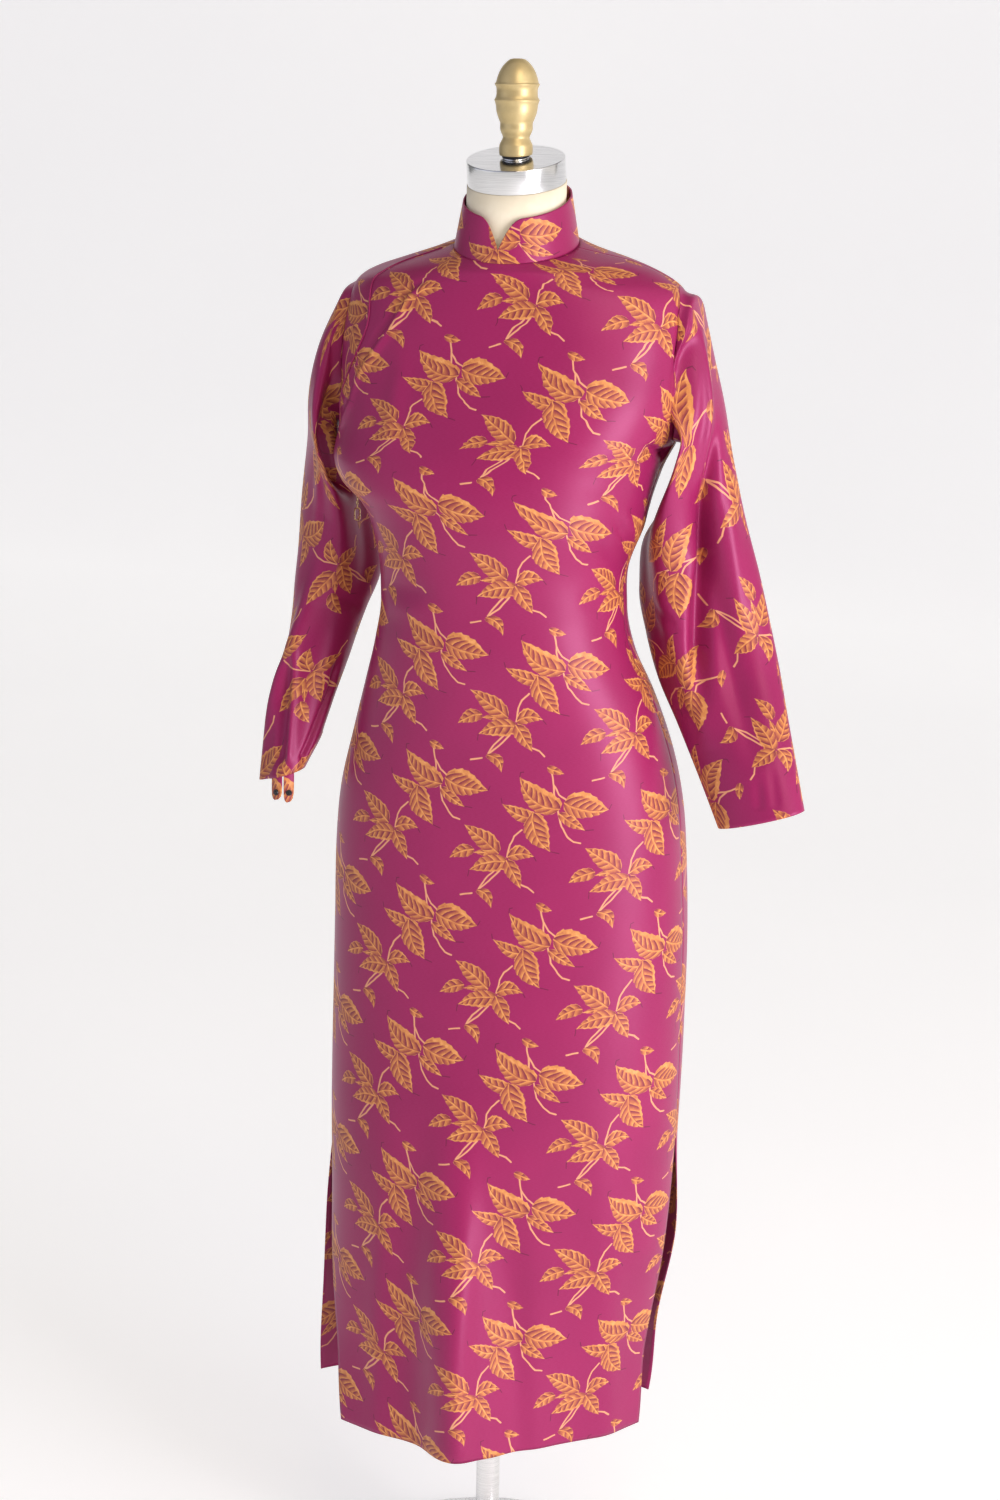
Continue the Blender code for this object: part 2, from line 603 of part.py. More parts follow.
def form_point(angle, height):
    """The form follows the dress's sections, inside them, with none of its folds or twist."""
    section = smooth_row(BODY_COLUMNS, BODY_SECTIONS, height)
    across = math.sin(math.radians(angle))
    back = -math.cos(math.radians(angle))
    reach = section["back"] if back > 0.0 else section["front"]
    size = abs(across / section["half_width"])**section["power"] + abs(back / reach)**section["power"]
    radius = size**(-1.0 / section["power"])
    x = across * radius + section["centre_x"]
    y = back * radius + section["centre_y"]
    point = Vector((x, y, height + section["tilt"] * y + section["slope"] * x))
    depth = FORM_CLEARANCE + smooth_row(FORM_EASE_COLUMNS, FORM_EASE, height)["ease"]
    inwards = -body_normal(angle, height)
    if height < ARMPIT_HEIGHT:
        inwards = Vector((inwards.x, inwards.y, 0.0)).normalized()
    return point + inwards * depth


def build_form(material):
    """Smooth torso and neck, just inside the dress."""
    angles = [360.0 * step / FORM_FACETS for step in range(FORM_FACETS)]
    points = [form_point(angle, height) for height in FORM_ROWS for angle in angles]
    circle = [Vector((math.sin(math.radians(angle)), -math.cos(math.radians(angle)), 0.0)) for angle in angles]
    lean = math.tan(NECK_TILT)
    for row in NECK_RINGS:
        ring = dict(zip(NECK_COLUMNS, row))
        for place in circle:
            y = place.y * ring["radius"] + ring["centre_y"]
            points.append(Vector((place.x * ring["radius"], y, ring["height"] + lean * y)))
    frame = cap_matrix()
    points += [frame @ (place * NECK_RADIUS - Vector((0.0, 0.0, CAP_HEIGHT))) for place in circle]
    rows = len(FORM_ROWS) + len(NECK_RINGS) + 1
    return make_object("form_torso", points, ring_faces(rows, FORM_FACETS), material, smooth=True)


def build_cap(material):
    edge = 0.0012
    profile = ((-CAP_HEIGHT + SEAM_GAP, CAP_RADIUS - edge), (-CAP_HEIGHT + SEAM_GAP + edge, CAP_RADIUS),
               (-edge, CAP_RADIUS), (0.0, CAP_RADIUS - edge))
    return lathe("neck_cap", profile, material, cap_matrix())


def build_washer(material):
    """Spacer with a tilted underside on the cap and a level top under the finial."""
    points = []
    for level in ("under", "top"):
        for step in range(ROUND_FACETS):
            turn = 2.0 * math.pi * step / ROUND_FACETS
            x = WASHER_RADIUS * math.cos(turn)
            y = WASHER_RADIUS * math.sin(turn)
            tilted = CAP_TOP + y * math.tan(NECK_TILT) + SEAM_GAP
            points.append(Vector((x, y, tilted if level == "under" else FINIAL_BOTTOM - SEAM_GAP)))
    return make_object("finial_washer", points, ring_faces(2, ROUND_FACETS), material, smooth=True)


def build_finial(material):
    profile = [(FINIAL_BOTTOM + up, radius) for up, radius in FINIAL_PROFILE]
    return lathe("finial", profile, material, facets=FINIAL_FACETS)


def build_stand(steel):
    """Pole, the socket that holds it and the round base plate."""
    lathe("base_plate", ((0.0, BASE_RADIUS - BASE_EDGE), (BASE_EDGE, BASE_RADIUS),
                         (BASE_THICKNESS - BASE_EDGE, BASE_RADIUS), (BASE_THICKNESS, BASE_RADIUS - BASE_EDGE)), steel)
    bore = POLE_RADIUS + SEAM_GAP
    bottom = BASE_THICKNESS + SEAM_GAP
    top = bottom + SOCKET_HEIGHT
    points = []
    profile = ((bottom, bore), (bottom, SOCKET_RADIUS), (top - SOCKET_CHAMFER, SOCKET_RADIUS),
               (top, SOCKET_RADIUS - SOCKET_CHAMFER), (top, bore))
    for up, radius in profile:
        for step in range(ROUND_FACETS):
            turn = 2.0 * math.pi * step / ROUND_FACETS
            points.append((radius * math.cos(turn), radius * math.sin(turn), up))
    faces = []
    rows = len(profile)
    for row in range(rows):
        for column in range(ROUND_FACETS):
            a = row * ROUND_FACETS + column
            b = row * ROUND_FACETS + (column + 1) % ROUND_FACETS
            up = ((row + 1) % rows - row) * ROUND_FACETS
            faces.append((a, b, b + up, a + up))
    make_object("pole_socket", points, faces, steel, smooth=True)
    lathe("pole", ((bottom, POLE_RADIUS), (FORM_BOTTOM - SEAM_GAP, POLE_RADIUS)), steel)


def build_tab(name, row, walls, material):
    """A short tab that carries on the sleeve's wall below its hem, narrowing to a rounded end."""
    tab = dict(zip(TAB_COLUMNS, row))
    layers = []
    for wall in walls:
        hem = [Vector(wall[-1][tab["corner"] + step]) for step in (-1, 0, 1)]
        for share, width in TAB_ROWS:
            drop = Vector((0.0, 0.0, -SEAM_GAP - tab["length"] * share))
            layers += [hem[1] + (corner - hem[1]) * (tab["spread"] * width) + drop for corner in hem]
    return make_object(name, layers, wall_faces(len(TAB_ROWS), 3, closed=False), material)


def build_snap(name, row, walls, material):
    """A snap fastener's half on a tab: a flat disc with a small stud."""
    tab = dict(zip(TAB_COLUMNS, row))
    face, back = (Vector(wall[-1][tab["corner"]]) for wall in walls)
    outwards = face - back
    outwards.z = 0.0
    place = face + outwards.normalized() * SEAM_GAP - Vector((0.0, 0.0, tab["length"] * SNAP_SHARE))
    frame = Matrix.Translation(place) @ outwards.to_track_quat("Z", "Y").to_matrix().to_4x4()
    profile = ((0.0, SNAP_RADIUS), (SNAP_THICKNESS, SNAP_RADIUS * 0.9), (SNAP_THICKNESS, SNAP_STUD_RADIUS),
               (SNAP_THICKNESS + SNAP_STUD_HEIGHT, SNAP_STUD_RADIUS * 0.8))
    return lathe(name, profile, material, frame, facets=SNAP_FACETS)


def wire_loop(length, width, wire, turn, top, segments):
    """Points and faces of a long round-ended loop of wire that hangs from its top point."""
    points = []
    straight = (length - width) / 2.0
    middle = Vector((0.0, 0.0, top - length / 2.0))
    radius = width / 2.0 - wire
    for step in range(segments):
        angle = 2.0 * math.pi * (step + 0.5) / segments
        shift = math.copysign(straight, math.sin(angle))
        spine = Vector((radius * math.cos(angle), 0.0, radius * math.sin(angle) + shift))
        outwards = Vector((math.cos(angle), 0.0, math.sin(angle)))
        for side in range(WIRE_SIDES):
            about = 2.0 * math.pi * side / WIRE_SIDES
            offset = outwards * (wire * math.cos(about)) + Vector((0.0, wire * math.sin(about), 0.0))
            points.append(middle + Matrix.Rotation(turn, 3, "Z") @ (spine + offset))
    faces = []
    for step in range(segments):
        for side in range(WIRE_SIDES):
            a = step * WIRE_SIDES + side
            b = step * WIRE_SIDES + (side + 1) % WIRE_SIDES
            c = ((step + 1) % segments) * WIRE_SIDES
            faces.append((a, b, c + (side + 1) % WIRE_SIDES, c + side))
    return points, faces


def slider_place(out, along):
    """A point of the slider's outline, out from the side seam and up along it."""
    outwards = body_normal(-90.0, ZIP_HEIGHT)
    outwards = Vector((outwards.x, 0.0, outwards.z)).normalized()
    upwards = Vector((outwards.z, 0.0, -outwards.x))
    return body_point(-90.0, ZIP_HEIGHT) + outwards * out + upwards * along


def zip_hinge():
    """Where the pull hangs from the slider, just outside the side seam."""
    return slider_place(HINGE_OUT, 0.0)


def build_slider(material):
    """Slider body on the seam with the lug that the pull hangs from."""
    thickness, width, length = SLIDER_SIZE
    near = SLIDER_LIFT
    far = SLIDER_LIFT + thickness
    outline = [(near, -0.40 * length), (near, 0.60 * length), (far, 0.60 * length), (HINGE_OUT, 0.52 * length),
               (HINGE_OUT + LUG_HALF, 0.30 * length), (HINGE_OUT + LUG_HALF, LUG_DROP),
               (HINGE_OUT - LUG_HALF, LUG_DROP), (far, 0.12 * length), (far, -0.40 * length)]
    points = []
    for side in (-0.5, 0.5):
        points += [slider_place(out, along) + Vector((0.0, side * width, 0.0)) for out, along in outline]
    count = len(outline)
    faces = [tuple(range(count)), tuple(range(count, 2 * count))]
    for index in range(count):
        after = (index + 1) % count
        faces.append((index, after, count + after, count + index))
    return make_object("zip_slider", points, faces, material)


def build_zip_pull(material):
    """Short chain and oval ring, joined as one rigid body that swings from the slider."""
    hinge = zip_hinge()
    holder = bpy.data.objects.new("zip_pull_hinge", None)
    holder.location = hinge
    bpy.context.scene.collection.objects.link(holder)
    top = 0.0003
    pieces = []
    for link in range(LINK_COUNT):
        turn = 0.0 if link % 2 else math.pi / 2.0
        pieces.append(wire_loop(LINK_LENGTH, LINK_WIDTH, LINK_WIRE, turn, top - link * LINK_PITCH, LINK_SEGMENTS))
    ring_top = top - LINK_COUNT * LINK_PITCH + 0.0001
    pieces.append(wire_loop(RING_LENGTH, RING_WIDTH, RING_WIRE, RING_TURN, ring_top, RING_SEGMENTS))
    things = [make_object(f"zip_pull_{index}", points, faces, material)
              for index, (points, faces) in enumerate(pieces)]
    pull = things[0]
    pull.name = "zip_pull"
    pull.parent = holder
    for other in things[1:]:
        other.parent = holder
        other.hide_render = True
        other.display_type = "WIRE"
        join = pull.modifiers.new("join", "BOOLEAN")
        join.operation = "UNION"
        join.object = other
    return pull


def build():
    clear_scene()
    satin = {name: make_material(name, PLUM_SATIN, 0.42, 0.0)
             for name in ("front_panel", "back_panel", "under_flap", "left_sleeve", "right_sleeve", "collar", *TABS)}
    heights = [*BODY_ROWS, *armhole_rows(), *NECK_ROWS]
    body_wall("front_panel", heights, front_angles, 0.0, satin["front_panel"])
    body_wall("back_panel", heights, back_angles, 0.0, satin["back_panel"])
    flap_heights = [height for height in heights if height >= FLAP_BOTTOM]
    body_wall("under_flap", flap_heights, flap_angles, LAYER_STEP, satin["under_flap"])
    right_walls = sleeve_walls(-1, RIGHT_SLEEVE, RIGHT_SLEEVE_FOLDS)
    build_sleeve("left_sleeve", sleeve_walls(1, LEFT_SLEEVE, LEFT_SLEEVE_FOLDS), satin["left_sleeve"])
    build_sleeve("right_sleeve", right_walls, satin["right_sleeve"])
    build_collar(satin["collar"])
    snap_metal = make_material("snap_metal", DARK_METAL, 0.35, 1.0)
    for name, row in TABS.items():
        build_tab(name, row, right_walls, satin[name])
        build_snap(name.replace("tab", "snap"), row, right_walls, snap_metal)
    gold = make_material("zip_gold", ZIP_GOLD, 0.30, 1.0)
    build_slider(gold)
    build_zip_pull(gold)
    build_form(make_material("form_canvas", CREAM_CANVAS, 0.85, 0.0))
    steel = make_material("steel", STEEL, 0.25, 1.0)
    build_cap(steel)
    build_washer(snap_metal)
    build_finial(make_material("finial_paint", GOLD_PAINT, 0.45, 0.3))
    build_stand(steel)


build()
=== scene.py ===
"""Looks for a long-sleeved brocade cheongsam on a dress form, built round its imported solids.

Metres, +Z up, the front towards -Y and the wearer's left towards +X. An angle round the body is
0 at the centre front and +90 degrees at the wearer's left side.
"""

import json
import math

import bmesh
import bpy
import numpy as np
from mathutils import Matrix, Vector

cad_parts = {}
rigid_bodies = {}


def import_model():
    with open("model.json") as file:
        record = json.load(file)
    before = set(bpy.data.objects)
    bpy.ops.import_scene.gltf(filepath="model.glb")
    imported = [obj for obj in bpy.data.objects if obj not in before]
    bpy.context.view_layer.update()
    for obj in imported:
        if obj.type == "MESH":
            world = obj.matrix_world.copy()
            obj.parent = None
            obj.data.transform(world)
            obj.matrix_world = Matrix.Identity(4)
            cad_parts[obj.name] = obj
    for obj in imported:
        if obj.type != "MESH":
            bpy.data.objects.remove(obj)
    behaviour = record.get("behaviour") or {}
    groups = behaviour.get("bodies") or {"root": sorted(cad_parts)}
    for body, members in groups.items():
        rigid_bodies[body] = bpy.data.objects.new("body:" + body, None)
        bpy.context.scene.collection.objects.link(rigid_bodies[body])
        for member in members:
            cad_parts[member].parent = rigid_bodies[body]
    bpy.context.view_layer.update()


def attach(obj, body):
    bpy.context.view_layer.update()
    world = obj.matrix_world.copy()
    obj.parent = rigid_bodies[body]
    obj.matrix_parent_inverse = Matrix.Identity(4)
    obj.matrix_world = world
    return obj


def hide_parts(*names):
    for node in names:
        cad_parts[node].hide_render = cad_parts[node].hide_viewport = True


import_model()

# Heights of the dress on its stand
HEM_HEIGHT = 0.205
SLIT_TOP = 0.545
ARMPIT_HEIGHT = 1.283
SHOULDER_HEIGHT = 1.436
NECK_HEIGHT = 1.4715

SLEEVE_FACETS = 20

# Horizontal sections of the dress. front and back are depths from the section's own centre,
# power is 2 for an ellipse, less for a pointed front and more for a squarer one, tilt is the
# rise of a section towards the back, slope its rise towards the wearer's left, and twist turns
# it towards the wearer's left.
BODY_COLUMNS = ("height", "half_width", "front", "back", "centre_x", "centre_y", "power", "tilt", "slope",
                "twist")
BODY_SECTIONS = (
    (0.205, 0.192, 0.126, 0.122, 0.000, 0.000, 1.37, 0.00, 0.000, 19.5),
    (0.300, 0.181, 0.125, 0.124, 0.000, 0.004, 1.52, 0.00, 0.000, 15.0),
    (0.420, 0.186, 0.124, 0.127, 0.003, 0.012, 1.80, 0.00, 0.000, 8.0),
    (0.545, 0.191, 0.122, 0.131, 0.003, 0.018, 2.05, 0.00, 0.000, 3.0),
    (0.650, 0.193, 0.119, 0.133, 0.003, 0.022, 2.15, 0.00, 0.000, 0.0),
    (0.750, 0.192, 0.115, 0.135, 0.003, 0.024, 2.25, 0.00, 0.000, 0.0),
    (0.840, 0.189, 0.111, 0.136, 0.002, 0.022, 2.30, 0.00, 0.000, 0.0),
    (0.900, 0.184, 0.108, 0.130, 0.003, 0.018, 2.25, 0.00, 0.000, 0.0),
    (0.960, 0.171, 0.105, 0.118, 0.005, 0.012, 2.20, 0.00, 0.000, 0.0),
    (1.020, 0.153, 0.102, 0.105, 0.004, 0.003, 2.15, 0.00, 0.000, 0.0),
    (1.065, 0.137, 0.100, 0.097, 0.001, -0.005, 2.15, 0.00, 0.000, 0.0),
    (1.110, 0.129, 0.100, 0.093, 0.000, -0.008, 2.15, 0.00, 0.000, 0.0),
    (1.150, 0.130, 0.106, 0.094, -0.001, -0.008, 2.15, 0.00, 0.000, 0.0),
    (1.190, 0.142, 0.117, 0.098, 0.001, -0.006, 2.15, 0.00, 0.000, 0.0),
    (1.210, 0.150, 0.122, 0.101, -0.003, -0.003, 2.20, 0.00, 0.000, 0.0),
    (1.228, 0.162, 0.126, 0.103, -0.011, 0.000, 2.25, 0.00, 0.000, 0.0),
    (1.250, 0.170, 0.128, 0.105, -0.013, 0.004, 2.35, 0.00, 0.000, 0.0),
    (1.283, 0.175, 0.128, 0.106, -0.004, 0.012, 2.50, 0.00, 0.000, 0.0),
    (1.320, 0.181, 0.123, 0.102, 0.000, 0.019, 2.60, 0.00, 0.000, 0.0),
    (1.360, 0.183, 0.112, 0.093, 0.000, 0.024, 2.60, 0.00, 0.000, 0.0),
    (1.402, 0.180, 0.099, 0.080, 0.000, 0.024, 2.45, 0.00, 0.010, 0.0),
    (1.436, 0.168, 0.087, 0.064, 0.000, 0.022, 2.15, 0.02, 0.005, 0.0),
    (1.446, 0.150, 0.083, 0.060, 0.000, 0.019, 1.95, 0.06, 0.012, 0.0),
    (1.4560, 0.121, 0.078, 0.056, 0.000, 0.015, 1.90, 0.11, 0.020, 0.0),
    (1.4640, 0.090, 0.070, 0.057, 0.000, 0.010, 1.95, 0.18, 0.010, 0.0),
    (1.4715, 0.0635, 0.063, 0.061, 0.001, 0.006, 2.00, 0.25, -0.015, 0.0),
)

# Below the slits the back panel hangs by itself, wider and less turned than the front
BACK_SKIRT_SECTIONS = (
    (0.205, 0.231, 0.130, 0.130, -0.012, -0.006, 1.80, 0.00, 0.000, 12.4),
    (0.300, 0.206, 0.128, 0.130, -0.012, 0.006, 1.85, 0.00, 0.000, 10.0),
    (0.420, 0.199, 0.125, 0.130, -0.002, 0.014, 1.95, 0.00, 0.000, 6.5),
)

# Large soft folds of the body: where the crest starts and ends, how wide it is, how far it stands
# out (or, below zero, sinks in), all measured before the twist
FOLD_COLUMNS = ("top", "bottom", "top_angle", "bottom_angle", "half_angle", "rise")
BODY_FOLDS = (
    (0.66, 0.12, -6.0, -21.0, 14.0, 0.027),
    (0.70, 0.10, 34.0, 36.0, 15.0, -0.004),
    (0.66, 0.00, 176.0, 168.0, 14.0, 0.012),
    (0.64, 0.00, 214.0, 222.0, 16.0, -0.008),
    (0.64, 0.00, 140.0, 132.0, 16.0, -0.008),
)

# How far, in degrees, the edges of the side slits stand back from the side at the hem
SLIT_FRONT = 13.7
SLIT_BACK = 20.5
SLIT_SPREAD_POWER = 1.15

# The armhole is an oval in angle and height about the side
ARMHOLE_FRONT_ANGLE = 12.0
ARMHOLE_BACK_ANGLE = 14.0

# Edge of the overlapping front on the wearer's right, from the side zip up to the collar
OPENING_COLUMNS = ("height", "angle")
OPENING_EDGE = (
    (1.205, -90.0),
    (1.230, -86.0),
    (1.262, -80.0),
    (1.300, -73.0),
    (1.340, -64.0),
    (1.385, -60.0),
    (1.420, -65.0),
    (1.445, -72.0),
    (1.458, -77.0),
    (1.4715, -80.0),
)
FLAP_LEAST_ANGLE = 1.5
FLAP_BOTTOM = 1.235
FLAP_OVERLAP_SHARE = 20.0

# Sleeves: the outer fold and the underarm edge, station by station from the armhole down, with
# the depths of the section in front of and behind the line between them
SLEEVE_COLUMNS = ("outer_x", "outer_y", "outer_z", "inner_x", "inner_y", "inner_z", "front", "back",
                  "power")
LEFT_SLEEVE = (
    (0.1870, 0.028, 1.4240, 0.1870, 0.026, 1.2780, 0.046, 0.0455, 2.2),
    (0.2000, 0.0275, 1.3740, 0.1845, 0.037, 1.2580, 0.060, 0.041, 2.2),
    (0.2135, 0.030, 1.3235, 0.1695, 0.046, 1.2365, 0.066, 0.036, 2.1),
    (0.2250, 0.033, 1.2650, 0.1503, 0.057, 1.2060, 0.062, 0.032, 2.0),
    (0.2400, 0.038, 1.2050, 0.1290, 0.062, 1.170, 0.055, 0.030, 1.9),
    (0.2560, 0.040, 1.1520, 0.1265, 0.062, 1.122, 0.048, 0.030, 1.9),
    (0.2700, 0.036, 1.1040, 0.1380, 0.056, 1.074, 0.042, 0.031, 1.9),
    (0.2855, 0.022, 1.0570, 0.1560, 0.042, 1.032, 0.037, 0.031, 2.0),
    (0.3010, -0.002, 1.0160, 0.1840, 0.018, 0.992, 0.033, 0.029, 2.0),
    (0.3180, -0.028, 0.9720, 0.2160, -0.012, 0.946, 0.029, 0.026, 2.1),
    (0.3345, -0.050, 0.9270, 0.2450, -0.038, 0.899, 0.024, 0.022, 2.1),
)
RIGHT_SLEEVE = (
    (-0.1890, 0.028, 1.4180, -0.1915, 0.026, 1.277, 0.046, 0.046, 2.2),
    (-0.2120, 0.031, 1.3700, -0.1880, 0.037, 1.257, 0.060, 0.041, 2.2),
    (-0.2275, 0.032, 1.3180, -0.1830, 0.050, 1.234, 0.066, 0.036, 2.1),
    (-0.2350, 0.033, 1.2600, -0.1760, 0.060, 1.206, 0.060, 0.032, 2.0),
    (-0.2420, 0.034, 1.2000, -0.1670, 0.064, 1.164, 0.052, 0.030, 1.9),
    (-0.2460, 0.036, 1.1460, -0.1600, 0.058, 1.120, 0.046, 0.032, 1.9),
    (-0.2500, 0.038, 1.0940, -0.1710, 0.040, 1.078, 0.040, 0.034, 1.9),
    (-0.2495, 0.038, 1.0460, -0.1850, 0.018, 1.034, 0.036, 0.034, 2.0),
    (-0.2490, 0.034, 0.9980, -0.2010, -0.006, 0.990, 0.032, 0.030, 2.0),
    (-0.2450, 0.026, 0.9500, -0.2150, -0.030, 0.948, 0.028, 0.026, 2.1),
    (-0.2560, 0.016, 0.8990, -0.2230, -0.046, 0.910, 0.022, 0.022, 2.1),
)

# Folds of a sleeve: from which station to which, round which angle from the outer fold towards
# the front, how wide and how high
SLEEVE_FOLD_COLUMNS = ("first", "last", "first_angle", "last_angle", "half_angle", "rise")
LEFT_SLEEVE_FOLDS = (
    (1.2, 8.5, 84.0, 112.0, 17.0, 0.010),
    (2.0, 9.0, 52.0, 62.0, 15.0, -0.011),
    (1.0, 6.0, 150.0, 140.0, 20.0, -0.008),
    (2.0, 9.0, 286.0, 262.0, 22.0, -0.007),
)
RIGHT_SLEEVE_FOLDS = (
    (0.0, 6.0, 84.0, 96.0, 16.0, 0.010),
    (4.0, 12.0, 70.0, 88.0, 17.0, 0.009),
    (1.0, 6.0, 140.0, 140.0, 20.0, -0.008),
    (2.0, 9.0, 286.0, 262.0, 22.0, -0.007),
)

# Collar
COLLAR_FRONT_LEAN = 0.007
COLLAR_SIDE_LEAN = 0.009
COLLAR_BACK_LEAN = 0.003
COLLAR_FRONT_HEIGHT = 0.043
COLLAR_SIDE_HEIGHT = 0.048
COLLAR_END_HEIGHT = 0.013
COLLAR_ROUNDING = 0.028
COLLAR_ROUNDING_POWER = 2.4

# Dress form
FORM_CLEARANCE = 0.0050
FORM_BOTTOM = 0.745
FORM_EASE_COLUMNS = ("height", "ease")
FORM_EASE = ((0.745, 0.012), (0.84, 0.003), (1.10, 0.003), (1.25, 0.003), (1.32, 0.0017), (1.40, 0.0),
             (1.48, 0.0))
NECK_TILT = math.radians(13.0)
NECK_RADIUS = 0.0505
NECK_COLUMNS = ("height", "radius", "centre_y")
NECK_RINGS = ((1.484, 0.0545, 0.0055), (1.496, 0.0520, 0.0050), (1.510, NECK_RADIUS, 0.0050))
CAP_RADIUS = 0.050
CAP_HEIGHT = 0.025
CAP_TOP = 1.5585

FINIAL_BOTTOM = 1.5640
FINIAL_COLUMNS = ("up", "radius")
WASHER_RADIUS = 0.0140

# Tabs of the open wrist placket
TAB_COLUMNS = ("corner", "length", "spread")
TABS = {
    "cuff_tab_outer": (8, 0.024, 0.90),
    "cuff_tab_inner": (10, 0.030, 0.85),
}
TAB_ROWS = ((0.0, 1.0), (0.45, 1.0), (0.75, 0.95), (0.92, 0.75), (1.0, 0.40))

# Thickness of the visible cloth, and the grids its pieces are made on
CLOTH_THICKNESS = 0.0008
FLAP_DROP = 0.0018
FRONT_GRID = 128
BACK_GRID = 108
FLAP_GRID = 20
SLEEVE_AROUND = 120
SLEEVE_STEPS = 16
COLLAR_GRID = 26
ROW_STEP = 0.0045
NECK_GRID_STEP = 0.0012
SLEEVE_CAP_STEPS = 14
SLEEVE_CAP_LEAVE = 0.9
SLEEVE_CAP_ARRIVE = 2.0
COLLAR_END_GRID = 16
COLLAR_SIDE_GRID = 44
COLLAR_END_GAP = 0.00015
COLLAR_THICKNESS = 0.0014
TAB_GRID = 12
WAIST_HEIGHT = 1.11
FLAP_DROP_RATE = 2.5
ARMHOLE_MIDDLE = 0.5 * (ARMPIT_HEIGHT + SHOULDER_HEIGHT)
ARMHOLE_HALF = 0.5 * (SHOULDER_HEIGHT - ARMPIT_HEIGHT)
BODY_FOLD_RATE = 1.4
SLEEVE_FOLD_POWER = 0.7

# How far the front's pattern drifts sideways off the straight grain, at heights up the dress
FRONT_DRIFT_HEIGHTS = (0.205, 0.45, 0.75, 1.30, 1.47)
FRONT_DRIFT = (0.022, 0.010, 0.0, 0.0, 0.016)


def eased(t, start, leave, end, arrive):
    """Places at shares t of a smooth curve between two ends, with its directions at both."""
    return ((2 * t**3 - 3 * t**2 + 1) * start + (t**3 - 2 * t**2 + t) * leave
            + (3 * t**2 - 2 * t**3) * end + (t**3 - t**2) * arrive)


def full_turn(count):
    """Evenly spread directions round a circle, in radians."""
    return 2.0 * np.pi * np.arange(count) / count


def table_at(columns, table, where):
    """Rows of a table at an array of heights (or other first column), on smooth curves."""
    keys = np.array([row[0] for row in table])
    values = np.array([row[1:] for row in table])
    where = np.clip(where, keys[0], keys[-1])
    index = np.clip(np.searchsorted(keys, where) - 1, 0, len(keys) - 2)
    slopes = np.diff(values, axis=0) / np.diff(keys)[:, None]
    inner = 0.5 * (slopes[1:] + slopes[:-1])
    inner[slopes[1:] * slopes[:-1] < 0.0] = 0.0
    tangents = np.vstack((slopes[:1], inner, slopes[-1:]))
    span = (keys[index + 1] - keys[index])[..., None]
    t = (where - keys[index])[..., None] / span
    rows = eased(t, values[index], span * tangents[index], values[index + 1], span * tangents[index + 1])
    found = {name: rows[..., place] for place, name in enumerate(columns[1:])}
    found[columns[0]] = where
    return found


def soft_step(value):
    value = np.clip(value, 0.0, 1.0)
    return value * value * (3.0 - 2.0 * value)


def angle_between(first, second):
    return (first - second + 180.0) % 360.0 - 180.0


def body_fold_rise(angle, height):
    rise = np.zeros_like(height)
    for row in BODY_FOLDS:
        fold = dict(zip(FOLD_COLUMNS, row))
        down = (fold["top"] - height) / (fold["top"] - fold["bottom"])
        crest = fold["top_angle"] + (fold["bottom_angle"] - fold["top_angle"]) * np.clip(down, 0.0, 1.0)
        off_crest = angle_between(angle, crest) / fold["half_angle"]
        rise += fold["rise"] * soft_step(down * BODY_FOLD_RATE) * np.exp(-off_crest**2)
    return rise


def directions(angle):
    """How far sideways and how far backward an angle round the body points."""
    return np.sin(np.radians(angle)), -np.cos(np.radians(angle))


def section_radius(section, across, back):
    depth = np.where(back > 0.0, section["back"], section["front"])
    power = section["power"]
    return (np.abs(across / section["half_width"])**power + np.abs(back / depth)**power)**(-1.0 / power)


def raised(section, x, y, height):
    """Points of a section, each at its own height where the section slopes."""
    return np.stack((x, y, height + section["tilt"] * y + section["slope"] * x), axis=-1)


def body_points(angle, height):
    """Points of the dress's smooth outer surface at arrays of angles and heights."""
    angle, height = np.broadcast_arrays(np.asarray(angle, float), np.asarray(height, float))
    across, back = directions(angle)
    section = table_at(BODY_COLUMNS, BODY_SECTIONS, height)
    skirt = table_at(BODY_COLUMNS, BACK_SKIRT_SECTIONS + BODY_SECTIONS[3:], height)
    behind = (back > 1e-9) & (height < SLIT_TOP)
    section = {name: np.where(behind, skirt[name], section[name]) for name in BODY_COLUMNS}
    radius = section_radius(section, across, back) + body_fold_rise(angle, height)
    turn = np.radians(section["twist"])
    x = radius * (across * np.cos(turn) - back * np.sin(turn)) + section["centre_x"]
    y = radius * (across * np.sin(turn) + back * np.cos(turn)) + section["centre_y"]
    return raised(section, x, y, height)


def armhole_share(height):
    """How far open the armhole is at a height: 0 at its ends, 1 in the middle."""
    return np.sqrt(np.clip(1.0 - ((height - ARMHOLE_MIDDLE) / ARMHOLE_HALF)**2, 0.0, None))


def slit_share(height):
    return np.clip((SLIT_TOP - height) / (SLIT_TOP - HEM_HEIGHT), 0.0, None)**SLIT_SPREAD_POWER


def front_edges(height):
    """Angles of the front panel's two edges."""
    left = 90.0 - SLIT_FRONT * slit_share(height) - ARMHOLE_FRONT_ANGLE * armhole_share(height)
    right = -90.0 + SLIT_FRONT * slit_share(height)
    opening = table_at(OPENING_COLUMNS, OPENING_EDGE, height)["angle"]
    return np.where(height > OPENING_EDGE[0][0], np.maximum(opening, right), right), left


def back_edges(height):
    open_angle = SLIT_BACK * slit_share(height) + ARMHOLE_BACK_ANGLE * armhole_share(height)
    return 90.0 + open_angle, 270.0 - open_angle


